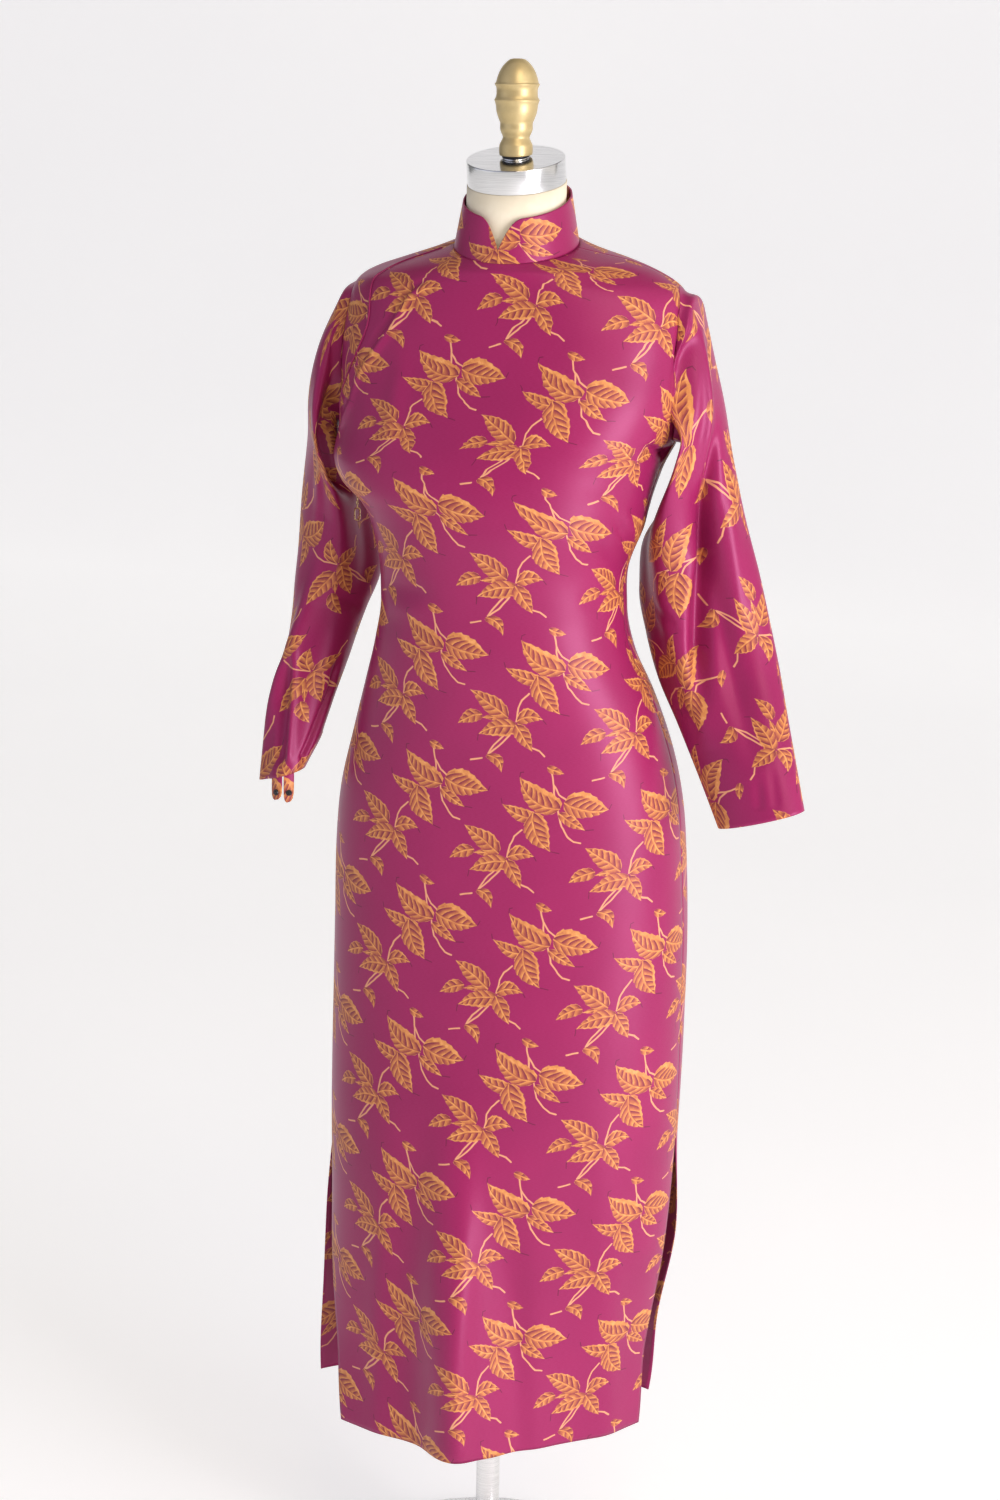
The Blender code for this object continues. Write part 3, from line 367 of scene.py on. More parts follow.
def flap_edges(height):
    """The under-flap runs from the armhole or shoulder seam to a little under the front's edge."""
    shoulder = -90.0 + ARMHOLE_FRONT_ANGLE * armhole_share(height)
    front_edge, far_edge = front_edges(height)
    lap = (far_edge - front_edge) / FLAP_OVERLAP_SHARE
    return shoulder, np.maximum(front_edge, shoulder + FLAP_LEAST_ANGLE) + lap


def body_heights(lowest=HEM_HEIGHT):
    """Heights of the rows of the body's cloth, evenly round the oval of the armhole."""
    steps = SLEEVE_AROUND // 2
    low_steps = int((ARMPIT_HEIGHT - HEM_HEIGHT) / ROW_STEP)
    low = np.linspace(HEM_HEIGHT, ARMPIT_HEIGHT, low_steps + 1)[:-1]
    armhole = ARMHOLE_MIDDLE - ARMHOLE_HALF * np.cos(np.pi * np.arange(steps + 1) / steps)
    neck_steps = int((NECK_HEIGHT - SHOULDER_HEIGHT) / NECK_GRID_STEP)
    neck = np.linspace(SHOULDER_HEIGHT, NECK_HEIGHT, neck_steps + 1)[1:]
    heights = np.concatenate((low, armhole, neck))
    return heights[heights >= lowest]


def between(edges, columns):
    """Evenly spread values between two edges that vary row by row."""
    first, last = edges
    share = np.linspace(0.0, 1.0, columns + 1)
    return first[:, None] + (last - first)[:, None] * share[None, :]


def sleeve_fold_rise(folds, station, angle):
    rise = np.zeros(np.broadcast_shapes(np.shape(station), np.shape(angle)))
    for row in folds:
        fold = dict(zip(SLEEVE_FOLD_COLUMNS, row))
        along = np.clip((station - fold["first"]) / (fold["last"] - fold["first"]), 0.0, 1.0)
        crest = fold["first_angle"] + (fold["last_angle"] - fold["first_angle"]) * along
        off_crest = angle_between(angle, crest) / fold["half_angle"]
        rise += fold["rise"] * np.sin(np.pi * along)**SLEEVE_FOLD_POWER * np.exp(-off_crest**2)
    return rise


def sleeve_rings(table, folds, station):
    """Sections of a sleeve at an array of stations, from the outer fold round the front."""
    numbered = [(float(number), *row) for number, row in enumerate(table)]
    section = table_at(("station", *SLEEVE_COLUMNS), numbered, station)
    outer = np.stack([section[name] for name in ("outer_x", "outer_y", "outer_z")], axis=-1)
    inner = np.stack([section[name] for name in ("inner_x", "inner_y", "inner_z")], axis=-1)
    centre = (outer + inner) / 2.0
    width = np.linalg.norm(outer - inner, axis=-1, keepdims=True)
    across = (outer - inner) / width
    forward = np.array([0.0, -1.0, 0.0]) - across * -across[:, 1:2]
    forward /= np.linalg.norm(forward, axis=-1, keepdims=True)
    angle = 360.0 * np.arange(SLEEVE_AROUND) / SLEEVE_AROUND
    out = np.cos(np.radians(angle))[None, :]
    fore = np.sin(np.radians(angle))[None, :]
    depth = np.where(fore > 0.0, section["front"][:, None], section["back"][:, None])
    power = section["power"][:, None]
    scale = (np.abs(out)**power + np.abs(fore)**power)**(-1.0 / power)
    offset = (across[:, None, :] * (width[:, None] / 2.0 * (out * scale)[..., None])
              + forward[:, None, :] * (depth * fore * scale)[..., None])
    rise = sleeve_fold_rise(folds, station[:, None], angle[None, :])
    length = np.linalg.norm(offset, axis=-1, keepdims=True)
    return centre[:, None, :] + offset * (1.0 + rise[..., None] / length)


def armhole_ring(side):
    """The edge of a sleeve, on the body's armhole."""
    turn = full_turn(SLEEVE_AROUND)
    fore = np.sin(turn)
    half_angle = np.where(fore > 0.0, ARMHOLE_FRONT_ANGLE, ARMHOLE_BACK_ANGLE)
    return body_points(side * (90.0 - half_angle * fore), ARMHOLE_MIDDLE + ARMHOLE_HALF * np.cos(turn))


def sleeve_grid(side, table, folds):
    """Outer points of a sleeve, ring by ring, from the armhole down to the hem."""
    stations = np.linspace(0.0, len(table) - 1.0, (len(table) - 1) * SLEEVE_STEPS + 1)
    rings = sleeve_rings(table, folds, stations)
    start = armhole_ring(side)
    leave = (rings[SLEEVE_STEPS // 2] - start) * SLEEVE_CAP_LEAVE
    arrive = (rings[SLEEVE_STEPS // 4] - rings[0]) * SLEEVE_CAP_ARRIVE
    t = (np.arange(SLEEVE_CAP_STEPS) / SLEEVE_CAP_STEPS)[:, None, None]
    return np.concatenate((eased(t, start, leave, rings[0], arrive), rings))


def grid_normals(grid, closed, flip):
    """Outward directions at the points of a grid of rows and columns."""
    if closed:
        around = np.roll(grid, -1, axis=1) - np.roll(grid, 1, axis=1)
    else:
        around = np.gradient(grid, axis=1)
    normals = np.cross(around, np.gradient(grid, axis=0))
    normals /= np.maximum(np.linalg.norm(normals, axis=2, keepdims=True), 1e-12)
    return -normals if flip else normals


def wall_cells(rows, columns, closed):
    """Faces of a two-layer wall as point numbers, with the places in its map that go with them."""
    span = columns + 1 if closed else columns
    row, column = (part.ravel() for part in np.mgrid[0:rows - 1, 0:span - 1])
    a = row * columns + column
    b = row * columns + (column + 1) % columns
    map_a = row * span + column
    under = rows * columns
    cells = [np.stack((a, b, b + columns, a + columns), axis=1),
             np.stack((a, a + columns, b + columns, b), axis=1) + under]
    maps = [np.stack((map_a, map_a + 1, map_a + 1 + span, map_a + span), axis=1),
            np.stack((map_a, map_a + span, map_a + 1 + span, map_a + 1), axis=1)]
    column = np.arange(span - 1)
    a, b, top, map_top = column, (column + 1) % columns, (rows - 1) * columns, (rows - 1) * span
    cells.append(np.stack((a, a + under, b + under, b), axis=1))
    maps.append(np.stack((column, column, column + 1, column + 1), axis=1))
    cells.append(np.stack((a, b, b + under, a + under), axis=1) + top)
    maps.append(np.stack((column, column + 1, column + 1, column), axis=1) + map_top)
    if not closed:
        a = np.arange(rows - 1) * columns
        for edge, order in ((a, (0, 1, 2, 3)), (a + columns - 1, (3, 2, 1, 0))):
            cell = np.stack((edge, edge + columns, edge + columns + under, edge + under), axis=1)
            flat = np.stack((edge, edge + columns, edge + columns, edge), axis=1)
            cells.append(cell[:, order])
            maps.append(flat[:, order])
    return np.concatenate(cells), np.concatenate(maps)


def grid_map(grid, closed, start_row, start_column):
    """Distances along the cloth, across from one column and up (or down) from one row."""
    if closed:
        grid = np.concatenate((grid, grid[:, :1]), axis=1)
    across = np.linalg.norm(np.diff(grid, axis=1), axis=2)
    across = np.concatenate((np.zeros((len(grid), 1)), np.cumsum(across, axis=1)), axis=1)
    across -= across[:, start_column:start_column + 1]
    upward = np.linalg.norm(np.diff(grid, axis=0), axis=2)
    upward = np.concatenate((np.zeros((1, grid.shape[1])), np.cumsum(upward, axis=0)), axis=0)
    upward -= upward[start_row:start_row + 1]
    return np.stack((across, upward), axis=-1)


def add_piece(name, data):
    """A new object in the scene for a mesh, a camera or a light."""
    piece = bpy.data.objects.new(name, data)
    bpy.context.scene.collection.objects.link(piece)
    return piece


cloth_grids = {}


def cloth_piece(name, grid, places, closed=False, flip=False, thickness=CLOTH_THICKNESS):
    """A thin two-layer shell on a grid of outer points; places are its map's coordinates."""
    inner = grid - grid_normals(grid, closed, flip) * thickness
    rows, columns = grid.shape[:2]
    cells, maps = wall_cells(rows, columns, closed)
    if flip:
        cells, maps = cells[:, ::-1], maps[:, ::-1]
    mesh = bpy.data.meshes.new(name)
    points = np.concatenate((grid.reshape(-1, 3), inner.reshape(-1, 3)))
    mesh.vertices.add(len(points))
    mesh.vertices.foreach_set("co", points.astype(np.float32).ravel())
    mesh.loops.add(cells.size)
    mesh.loops.foreach_set("vertex_index", cells.astype(np.int32).ravel())
    mesh.polygons.add(len(cells))
    mesh.polygons.foreach_set("loop_start", np.arange(0, cells.size, 4, dtype=np.int32))
    layer = mesh.uv_layers.new(name="cloth")
    layer.data.foreach_set("uv", places.reshape(-1, 2)[maps.ravel()].astype(np.float32).ravel())
    mesh.update(calc_edges=True)
    mesh.validate()
    mesh.shade_smooth()
    cloth_grids[name] = grid
    return add_piece(name, mesh)


# Main creases of the cloth: half width, rise (below 0 for a trough), how soon it fades in and out
# along its line as a share of its length, which way it rises, and the line itself
CREASE_COLUMNS = ("half_width", "rise", "fade_in", "fade_out", "towards", "line")
FRONT_CREASES = (
    (0.0090, -0.026, 0.35, 0.35, (0.92, -0.37, 0.11),
     ((0.185, 0.005, 1.403), (0.189, -0.008, 1.378), (0.192, -0.019, 1.349), (0.192, -0.027, 1.318),
      (0.190, -0.027, 1.283))),
    (0.006, 0.007, 0.3, 0.3, (0.83, -0.55, 0.1),
     ((0.188, 0.044, 1.417), (0.195, 0.013, 1.391), (0.202, 0.006, 1.356), (0.208, 0.0, 1.322),
      (0.208, -0.004, 1.289), (0.204, -0.003, 1.252), (0.2, 0.005, 1.172), (0.195, 0.001, 1.132),
      (0.193, -0.001, 1.087))),
    (0.0095, -0.023, 0.2, 0.25, (0.53, -0.84, 0.13),
     ((0.204, 0.017, 1.322), (0.206, 0.007, 1.278), (0.206, 0.003, 1.226), (0.205, 0.011, 1.162),
      (0.209, 0.002, 1.083), (0.218, -0.028, 1.001))),
    (0.012, 0.004, 0.3, 0.3, (0.57, -0.77, 0.28),
     ((0.223, 0.045, 1.272), (0.231, 0.019, 1.206), (0.238, 0.015, 1.122), (0.252, -0.003, 1.036))),
    (0.005, -0.0014, 0.5, 0.1, (-0.09, -0.91, 0.41),
     ((0.284, -0.05, 0.963), (0.293, -0.064, 0.927))),
    (0.005, -0.0012, 0.5, 0.1, (0.09, -0.88, 0.47),
     ((0.296, -0.042, 0.976), (0.31, -0.064, 0.929))),
    (0.007, -0.0022, 0.4, 0.4, (-0.42, -0.91, -0.07),
     ((0.15, 0.023, 1.115), (0.175, 0.0, 1.098), (0.191, -0.002, 1.08))),
    (0.007, -0.002, 0.4, 0.4, (-0.58, -0.81, 0.01),
     ((0.18, 0.007, 1.017), (0.204, -0.014, 1.005), (0.221, -0.027, 0.984))),
    (0.006, -0.008, 0.4, 0.1, (0.9, -0.28, -0.33),
     ((0.154, -0.058, 1.283), (0.163, -0.036, 1.278), (0.165, 0.009, 1.269))),
    (0.005, -0.0034, 0.4, 0.3, (0.91, -0.34, -0.22),
     ((0.127, -0.072, 1.22), (0.136, -0.05, 1.197), (0.133, -0.008, 1.166))),
    (0.006, 0.0018, 0.4, 0.3, (0.92, -0.31, -0.24),
     ((0.132, -0.069, 1.233), (0.14, -0.043, 1.206), (0.141, -0.007, 1.184))),
    (0.006, -0.002, 0.4, 0.3, (0.9, -0.4, -0.17),
     ((0.112, -0.084, 1.193), (0.123, -0.052, 1.161), (0.128, -0.011, 1.13))),
    (0.009, -0.017, 0.3, 0.3, (0.93, -0.36, 0.06),
     ((-0.183, -0.016, 1.335), (-0.191, -0.012, 1.3), (-0.194, -0.019, 1.269), (-0.187, -0.01, 1.23),
      (-0.176, 0.022, 1.194))),
    (0.006, 0.0055, 0.3, 0.3, (0.2, -0.98, 0.02),
     ((-0.191, -0.015, 1.378), (-0.193, -0.023, 1.335), (-0.199, -0.03, 1.296), (-0.198, -0.032, 1.261),
      (-0.208, -0.006, 1.219), (-0.217, 0.003, 1.153))),
    (0.0045, 0.0045, 0.25, 0.1, (0.01, -0.96, 0.27),
     ((-0.231, -0.01, 1.06), (-0.231, -0.014, 1.007), (-0.228, -0.027, 0.966), (-0.224, -0.044, 0.917))),
    (0.007, -0.0055, 0.25, 0.1, (-0.49, -0.82, 0.3),
     ((-0.243, -0.004, 1.045), (-0.241, -0.016, 0.994), (-0.239, -0.03, 0.953), (-0.237, -0.043, 0.916))),
    (0.0035, -0.0060, 0.3, 0.0, (0.88, -0.47, -0.03),
     ((-0.188, 0.011, 1.037), (-0.195, 0.004, 0.995), (-0.203, -0.014, 0.962), (-0.212, -0.032, 0.928))),
    (0.007, -0.0022, 0.4, 0.3, (0.82, -0.55, -0.18),
     ((-0.192, 0.0, 1.103), (-0.18, 0.016, 1.088), (-0.172, 0.033, 1.075))),
    (0.012, 0.002, 0.4, 0.4, (-0.26, -0.93, 0.26),
     ((-0.104, -0.069, 1.386), (-0.09, -0.085, 1.348), (-0.092, -0.101, 1.3), (-0.099, -0.112, 1.251))),
    (0.005, 0.0030, 0.12, 0.2, (-0.53, -0.8, 0.3),
     ((-0.062, -0.057, 1.44), (-0.089, -0.06, 1.421), (-0.106, -0.067, 1.39), (-0.127, -0.069, 1.36),
      (-0.143, -0.068, 1.336), (-0.149, -0.069, 1.311), (-0.167, -0.051, 1.278), (-0.165, -0.063, 1.26))),
    (0.0040, -0.0045, 0.12, 0.2, (-0.53, -0.8, 0.3),
     ((-0.068, -0.057, 1.444), (-0.095, -0.060, 1.425), (-0.112, -0.067, 1.394), (-0.133, -0.069, 1.364),
      (-0.149, -0.068, 1.340), (-0.155, -0.069, 1.315), (-0.173, -0.051, 1.282), (-0.171, -0.063, 1.264))),
    (0.01, -0.0022, 0.3, 0.4, (-0.51, -0.85, -0.13),
     ((-0.114, -0.062, 1.134), (-0.072, -0.096, 1.13), (-0.036, -0.108, 1.13))),
    (0.01, 0.002, 0.3, 0.4, (-0.52, -0.85, -0.08),
     ((-0.119, -0.05, 1.107), (-0.071, -0.094, 1.107), (-0.03, -0.106, 1.112))),
    (0.01, -0.002, 0.3, 0.4, (0.88, -0.47, -0.0),
     ((0.128, -0.011, 1.13), (0.116, -0.056, 1.125), (0.093, -0.081, 1.125))),
    (0.016, 0.007, 0.6, 0.0, (0.37, -0.92, 0.1),
     ((0.01, -0.104, 0.575), (0.008, -0.116, 0.489), (0.009, -0.13, 0.394), (0.009, -0.143, 0.3),
      (0.014, -0.145, 0.219))),
    (0.020, -0.006, 0.6, 0.0, (0.47, -0.88, 0.04),
     ((0.049, -0.099, 0.534), (0.054, -0.102, 0.422), (0.061, -0.102, 0.313), (0.066, -0.103, 0.21))),
    (0.02, 0.003, 0.6, 0.0, (-0.31, -0.95, 0.05),
     ((-0.088, -0.089, 0.602), (-0.091, -0.096, 0.467), (-0.094, -0.1, 0.331), (-0.09, -0.108, 0.214))),
    (0.022, 0.004, 0.5, 0.0, (0.66, -0.74, -0.06),
     ((0.134, -0.069, 0.624), (0.142, -0.059, 0.489), (0.141, -0.039, 0.345), (0.141, -0.024, 0.214))),
)


def body_line(*places):
    """Points of the body's surface at (angle, height) places."""
    angles, heights = np.array(places).T
    return body_points(angles, heights)


def sleeve_line(table, folds, *places):
    """Points of a sleeve's surface at (station, angle) places."""
    stations, angles = np.array(places).T
    columns = np.round(angles / 360.0 * SLEEVE_AROUND).astype(int) % SLEEVE_AROUND
    return sleeve_rings(table, folds, stations)[np.arange(len(places)), columns]


BACK_CREASES = (
    (0.020, 0.0045, 0.6, 0.0, (0.5, 0.87, 0.0),
     body_line((150, 0.75), (152, 0.50), (155, 0.30), (156, 0.21))),
    (0.022, 0.0050, 0.6, 0.0, (-0.42, 0.91, 0.0),
     body_line((205, 0.70), (207, 0.50), (208, 0.35), (209, 0.21))),
    (0.020, -0.0035, 0.6, 0.0, (0.0, 1.0, 0.0),
     body_line((180, 0.62), (181, 0.40), (180, 0.21))),
    (0.008, -0.0026, 0.4, 0.4, (0.0, 1.0, 0.0),
     body_line((146, 1.120), (166, 1.106), (188, 1.108), (210, 1.124))),
    (0.009, 0.0020, 0.4, 0.4, (0.0, 1.0, 0.0),
     body_line((140, 1.138), (162, 1.128), (186, 1.130), (206, 1.142))),
    (0.008, -0.0022, 0.4, 0.4, (0.0, 1.0, 0.0),
     body_line((150, 1.160), (168, 1.150), (184, 1.158))),
    (0.006, -0.0024, 0.3, 0.4, (0.8, 0.6, 0.0),
     body_line((104, 1.262), (114, 1.236), (126, 1.200))),
    (0.006, -0.0024, 0.3, 0.4, (-0.8, 0.6, 0.0),
     body_line((256, 1.262), (246, 1.236), (234, 1.200))),
    (0.010, -0.0022, 0.4, 0.4, (0.5, 0.87, 0.0),
     body_line((122, 1.400), (130, 1.360), (134, 1.300))),
    (0.010, -0.0022, 0.4, 0.4, (-0.5, 0.87, 0.0),
     body_line((238, 1.400), (230, 1.360), (226, 1.300))),
)
SLEEVE_CREASES = []
for side, deepest, table, folds in ((1.0, -0.0060, LEFT_SLEEVE, LEFT_SLEEVE_FOLDS),
                                    (-1.0, -0.0055, RIGHT_SLEEVE, RIGHT_SLEEVE_FOLDS)):
    SLEEVE_CREASES.extend((
        (0.009, deepest, 0.3, 0.3, (-0.3 * side, 0.95, 0.0),
         sleeve_line(table, folds, (0.2, 262), (1.5, 268), (3.0, 280), (4.5, 284))),
        (0.008, 0.0030, 0.3, 0.3, (0.2 * side, 0.98, 0.0),
         sleeve_line(table, folds, (0.5, 296), (2.0, 302), (4.0, 308))),
        (0.007, -0.0024, 0.4, 0.4, (0.0, 1.0, 0.0),
         sleeve_line(table, folds, (4.6, 220), (4.9, 250), (5.1, 276))),
    ))
CREASES = [dict(zip(CREASE_COLUMNS, row)) for row in (*FRONT_CREASES, *BACK_CREASES, *SLEEVE_CREASES)]
CREASE_REACH = 4.0


def creased(points):
    """Points of the cloth, moved by its main creases."""
    shift = np.zeros_like(points)
    for crease in CREASES:
        line = np.array(crease["line"])
        starts, steps = line[:-1], np.diff(line, axis=0)
        lengths = np.linalg.norm(steps, axis=1)
        reach = CREASE_REACH * crease["half_width"]
        near = np.all((points > line.min(axis=0) - reach) & (points < line.max(axis=0) + reach), axis=-1)
        if not near.any():
            continue
        chosen = points[near]
        best = np.full(len(chosen), np.inf)
        along = np.zeros(len(chosen))
        travelled = np.concatenate(((0.0,), np.cumsum(lengths)))
        for number, (start, step, length) in enumerate(zip(starts, steps, lengths)):
            t = np.clip((chosen - start) @ step / length**2, 0.0, 1.0)
            away = np.linalg.norm(chosen - start - t[:, None] * step, axis=1)
            closer = away < best
            best[closer] = away[closer]
            along[closer] = ((travelled[number] + t * length) / travelled[-1])[closer]
        fade = np.ones(len(chosen))
        if crease["fade_in"]:
            fade = fade * soft_step(along / crease["fade_in"])
        if crease["fade_out"]:
            fade = fade * soft_step((1.0 - along) / crease["fade_out"])
        profile = np.exp(-(best / crease["half_width"])**2)
        rise = crease["rise"] * fade * profile
        towards = np.array(crease["towards"]) / np.linalg.norm(crease["towards"])
        shift[near] += rise[:, None] * towards
    return points + shift


def nearest_row(heights, height):
    return int(np.argmin(np.abs(heights - height)))


def build_body():
    """Front, back and under-flap."""
    heights = body_heights()
    rise = heights[:, None]
    waist = nearest_row(heights, WAIST_HEIGHT)
    front_angles = between(front_edges(heights), FRONT_GRID)
    smooth = body_points(front_angles, rise)
    places = grid_map(smooth, False, waist, 0)
    nearest_middle = np.argmin(np.abs(front_angles), axis=1)
    rows = np.arange(len(heights))
    places[..., 0] -= places[rows, nearest_middle, 0][:, None]
    places[..., 0] += np.interp(heights, FRONT_DRIFT_HEIGHTS, FRONT_DRIFT)[:, None]
    front = cloth_piece("front_cloth", creased(smooth), places)
    back_angles = between(back_edges(heights), BACK_GRID)
    smooth = body_points(back_angles, rise)
    places = grid_map(smooth, False, waist, BACK_GRID // 2)
    back = cloth_piece("back_cloth", creased(smooth), places)
    heights = body_heights(FLAP_BOTTOM)
    flap_angles = between(flap_edges(heights), FLAP_GRID)
    smooth = body_points(flap_angles, heights[:, None])
    places = grid_map(smooth, False, 0, 0)
    smooth = creased(smooth)
    normals = grid_normals(smooth, False, False)
    share = np.linspace(0.0, 1.0, FLAP_GRID + 1)[None, :, None]
    dropped = smooth - normals * FLAP_DROP * soft_step(share * FLAP_DROP_RATE)
    return front, back, cloth_piece("flap_cloth", dropped, places)


def build_sleeves():
    found = []
    for name, side, table, folds in (("left_sleeve_cloth", 1, LEFT_SLEEVE, LEFT_SLEEVE_FOLDS),
                                     ("right_sleeve_cloth", -1, RIGHT_SLEEVE, RIGHT_SLEEVE_FOLDS)):
        smooth = sleeve_grid(side, table, folds)
        places = grid_map(smooth, True, SLEEVE_CAP_STEPS, SLEEVE_AROUND // 4)
        below_cap = places[SLEEVE_CAP_STEPS:, :, 1]
        below_cap[:] = below_cap.mean(axis=1, keepdims=True)
        places *= -1.0
        places[..., 0] *= side
        found.append(cloth_piece(name, creased(smooth), places, closed=True, flip=side < 0))
    return found


def collar_height(distance, angle):
    reach = np.minimum(distance / COLLAR_ROUNDING, 1.0)
    rounded = 1.0 - (1.0 - reach)**COLLAR_ROUNDING_POWER
    sideways = np.sin(np.radians(angle) / 2.0)
    full = COLLAR_FRONT_HEIGHT + (COLLAR_SIDE_HEIGHT - COLLAR_FRONT_HEIGHT) * sideways
    return COLLAR_END_HEIGHT + (full - COLLAR_END_HEIGHT) * rounded


def build_collar():
    """A band round the neck whose two rounded ends meet at the centre front."""
    base_radius = BODY_SECTIONS[-1][2]
    distance = np.concatenate((COLLAR_ROUNDING * np.linspace(0.0, 1.0, COLLAR_END_GRID)**2.0,
                               np.linspace(COLLAR_ROUNDING, np.pi * base_radius, COLLAR_SIDE_GRID)[1:]))
    half = np.degrees((distance + COLLAR_END_GAP) / base_radius)
    half[-1] = 180.0
    angles = np.concatenate((half, 360.0 - half[-2::-1]))
    distance = np.concatenate((distance, distance[-2::-1]))
    base = body_points(angles, NECK_HEIGHT)
    outwards = base * np.array([1.0, 1.0, 0.0])
    outwards /= np.linalg.norm(outwards, axis=1, keepdims=True)
    full = collar_height(distance, angles)
    sideways = np.abs(np.sin(np.radians(angles)))
    end_lean = np.where(np.cos(np.radians(angles)) > 0.0, COLLAR_FRONT_LEAN, COLLAR_BACK_LEAN)
    lean = end_lean + (COLLAR_SIDE_LEAN - end_lean) * sideways**2
    share = np.linspace(0.0, 1.0, COLLAR_GRID + 1)[:, None]
    up = full[None, :] * share
    inward = lean[None, :] * up / COLLAR_SIDE_HEIGHT
    grid = base[None] + up[..., None] * np.array([0.0, 0.0, 1.0]) - outwards[None] * inward[..., None]
    places = grid_map(grid, False, 0, len(half) - 1)
    return cloth_piece("collar_cloth", grid, places, thickness=COLLAR_THICKNESS)


def build_tabs(hem):
    """Tabs of the open wrist placket, hanging from the hem of the wearer's right sleeve."""
    found = []
    for name, row in TABS.items():
        tab = dict(zip(TAB_COLUMNS, row))
        step = SLEEVE_AROUND // SLEEVE_FACETS
        middle = tab["corner"] * step
        share = np.linspace(-1.0, 1.0, TAB_GRID + 1)
        places = middle + share * step * tab["spread"]
        ring = np.arange(SLEEVE_AROUND)
        edge = np.stack([np.interp(places, ring, hem[:, axis]) for axis in range(3)], axis=-1)
        centre = edge[TAB_GRID // 2]
        down = np.linspace(0.0, 1.0, TAB_GRID * 2 + 1)
        width = np.interp(down, [part[0] for part in TAB_ROWS], [part[1] for part in TAB_ROWS])
        grid = centre + (edge[None] - centre) * width[:, None, None]
        grid = grid - np.array([0.0, 0.0, 1.0]) * (tab["length"] * down)[:, None, None]
        flat = grid_map(grid, False, 0, TAB_GRID // 2)
        found.append(cloth_piece(f"{name}_cloth", grid, flat, flip=True))
    return found


def material_tree(name):
    """A new material, its node tree and its main shader."""
    material = bpy.data.materials.new(name)
    material.use_nodes = True
    tree = material.node_tree
    return material, tree, tree.nodes["Principled BSDF"]


def plug(tree, socket, value):
    if isinstance(value, bpy.types.NodeSocket):
        tree.links.new(value, socket)
    elif value is not None:
        socket.default_value = value


def math_of(tree, operation, *values, clamp=False):
    node = tree.nodes.new("ShaderNodeMath")
    node.operation = operation
    node.use_clamp = clamp
    for socket, value in zip(node.inputs, values):
        plug(tree, socket, value)
    return node.outputs[0]


def vector_of(tree, operation, *values):
    node = tree.nodes.new("ShaderNodeVectorMath")
    node.operation = operation
    for socket, value in zip(node.inputs, values):
        plug(tree, socket, value)
    return node.outputs["Value"] if operation in ("DOT_PRODUCT", "LENGTH") else node.outputs["Vector"]


def times(tree, first, second, clamp=False):
    return math_of(tree, "MULTIPLY", first, second, clamp=clamp)


def minus(tree, first, second):
    return math_of(tree, "SUBTRACT", first, second)


def scaled(tree, vector, scale):
    node = tree.nodes.new("ShaderNodeVectorMath")
    node.operation = "SCALE"
    plug(tree, node.inputs[0], vector)
    plug(tree, node.inputs["Scale"], scale)
    return node.outputs[0]


def group_of(tree, group, **values):
    """A group used in a tree, with its inputs given by name."""
    node = tree.nodes.new("ShaderNodeGroup")
    node.node_tree = group
    for name, value in values.items():
        plug(tree, node.inputs[name], value)
    return node.outputs


def noise_of(tree, vector, scale, detail=2.0):
    node = tree.nodes.new("ShaderNodeTexNoise")
    plug(tree, node.inputs["Vector"], vector)
    node.inputs["Scale"].default_value = scale
    node.inputs["Detail"].default_value = detail
    return node.outputs["Fac"]


def ramp_of(tree, value, stops):
    node = tree.nodes.new("ShaderNodeValToRGB")
    plug(tree, node.inputs[0], value)
    ramp = node.color_ramp
    while len(ramp.elements) < len(stops):
        ramp.elements.new(0.5)
    for element, (place, colour) in zip(ramp.elements, stops):
        element.position = place
        element.color = (*colour, 1.0)
    return node.outputs["Color"]


def mix_of(tree, share, first, second, blend="MIX"):
    node = tree.nodes.new("ShaderNodeMix")
    node.data_type = "RGBA"
    node.blend_type = blend
    plug(tree, node.inputs["Factor"], share)
    for socket, value in ((node.inputs[6], first), (node.inputs[7], second)):
        plug(tree, socket, (*value, 1.0) if isinstance(value, tuple) else value)
    return node.outputs[2]


def bump_of(tree, height, distance, strength=1.0, normal=None):
    node = tree.nodes.new("ShaderNodeBump")
    plug(tree, node.inputs["Height"], height)
    node.inputs["Distance"].default_value = distance
    node.inputs["Strength"].default_value = strength
    plug(tree, node.inputs["Normal"], normal)
    return node.outputs["Normal"]


def curve_of(tree, value, points):
    """A value looked up on a line through the given points."""
    node = tree.nodes.new("ShaderNodeFloatCurve")
    plug(tree, node.inputs["Value"], value)
    line = node.mapping.curves[0]
    while len(line.points) < len(points):
        line.points.new(0.5, 0.5)
    for point, (x, y) in zip(line.points, points):
        point.location = (x, y)
        point.handle_type = "VECTOR"
    node.mapping.update()
    return node.outputs["Value"]


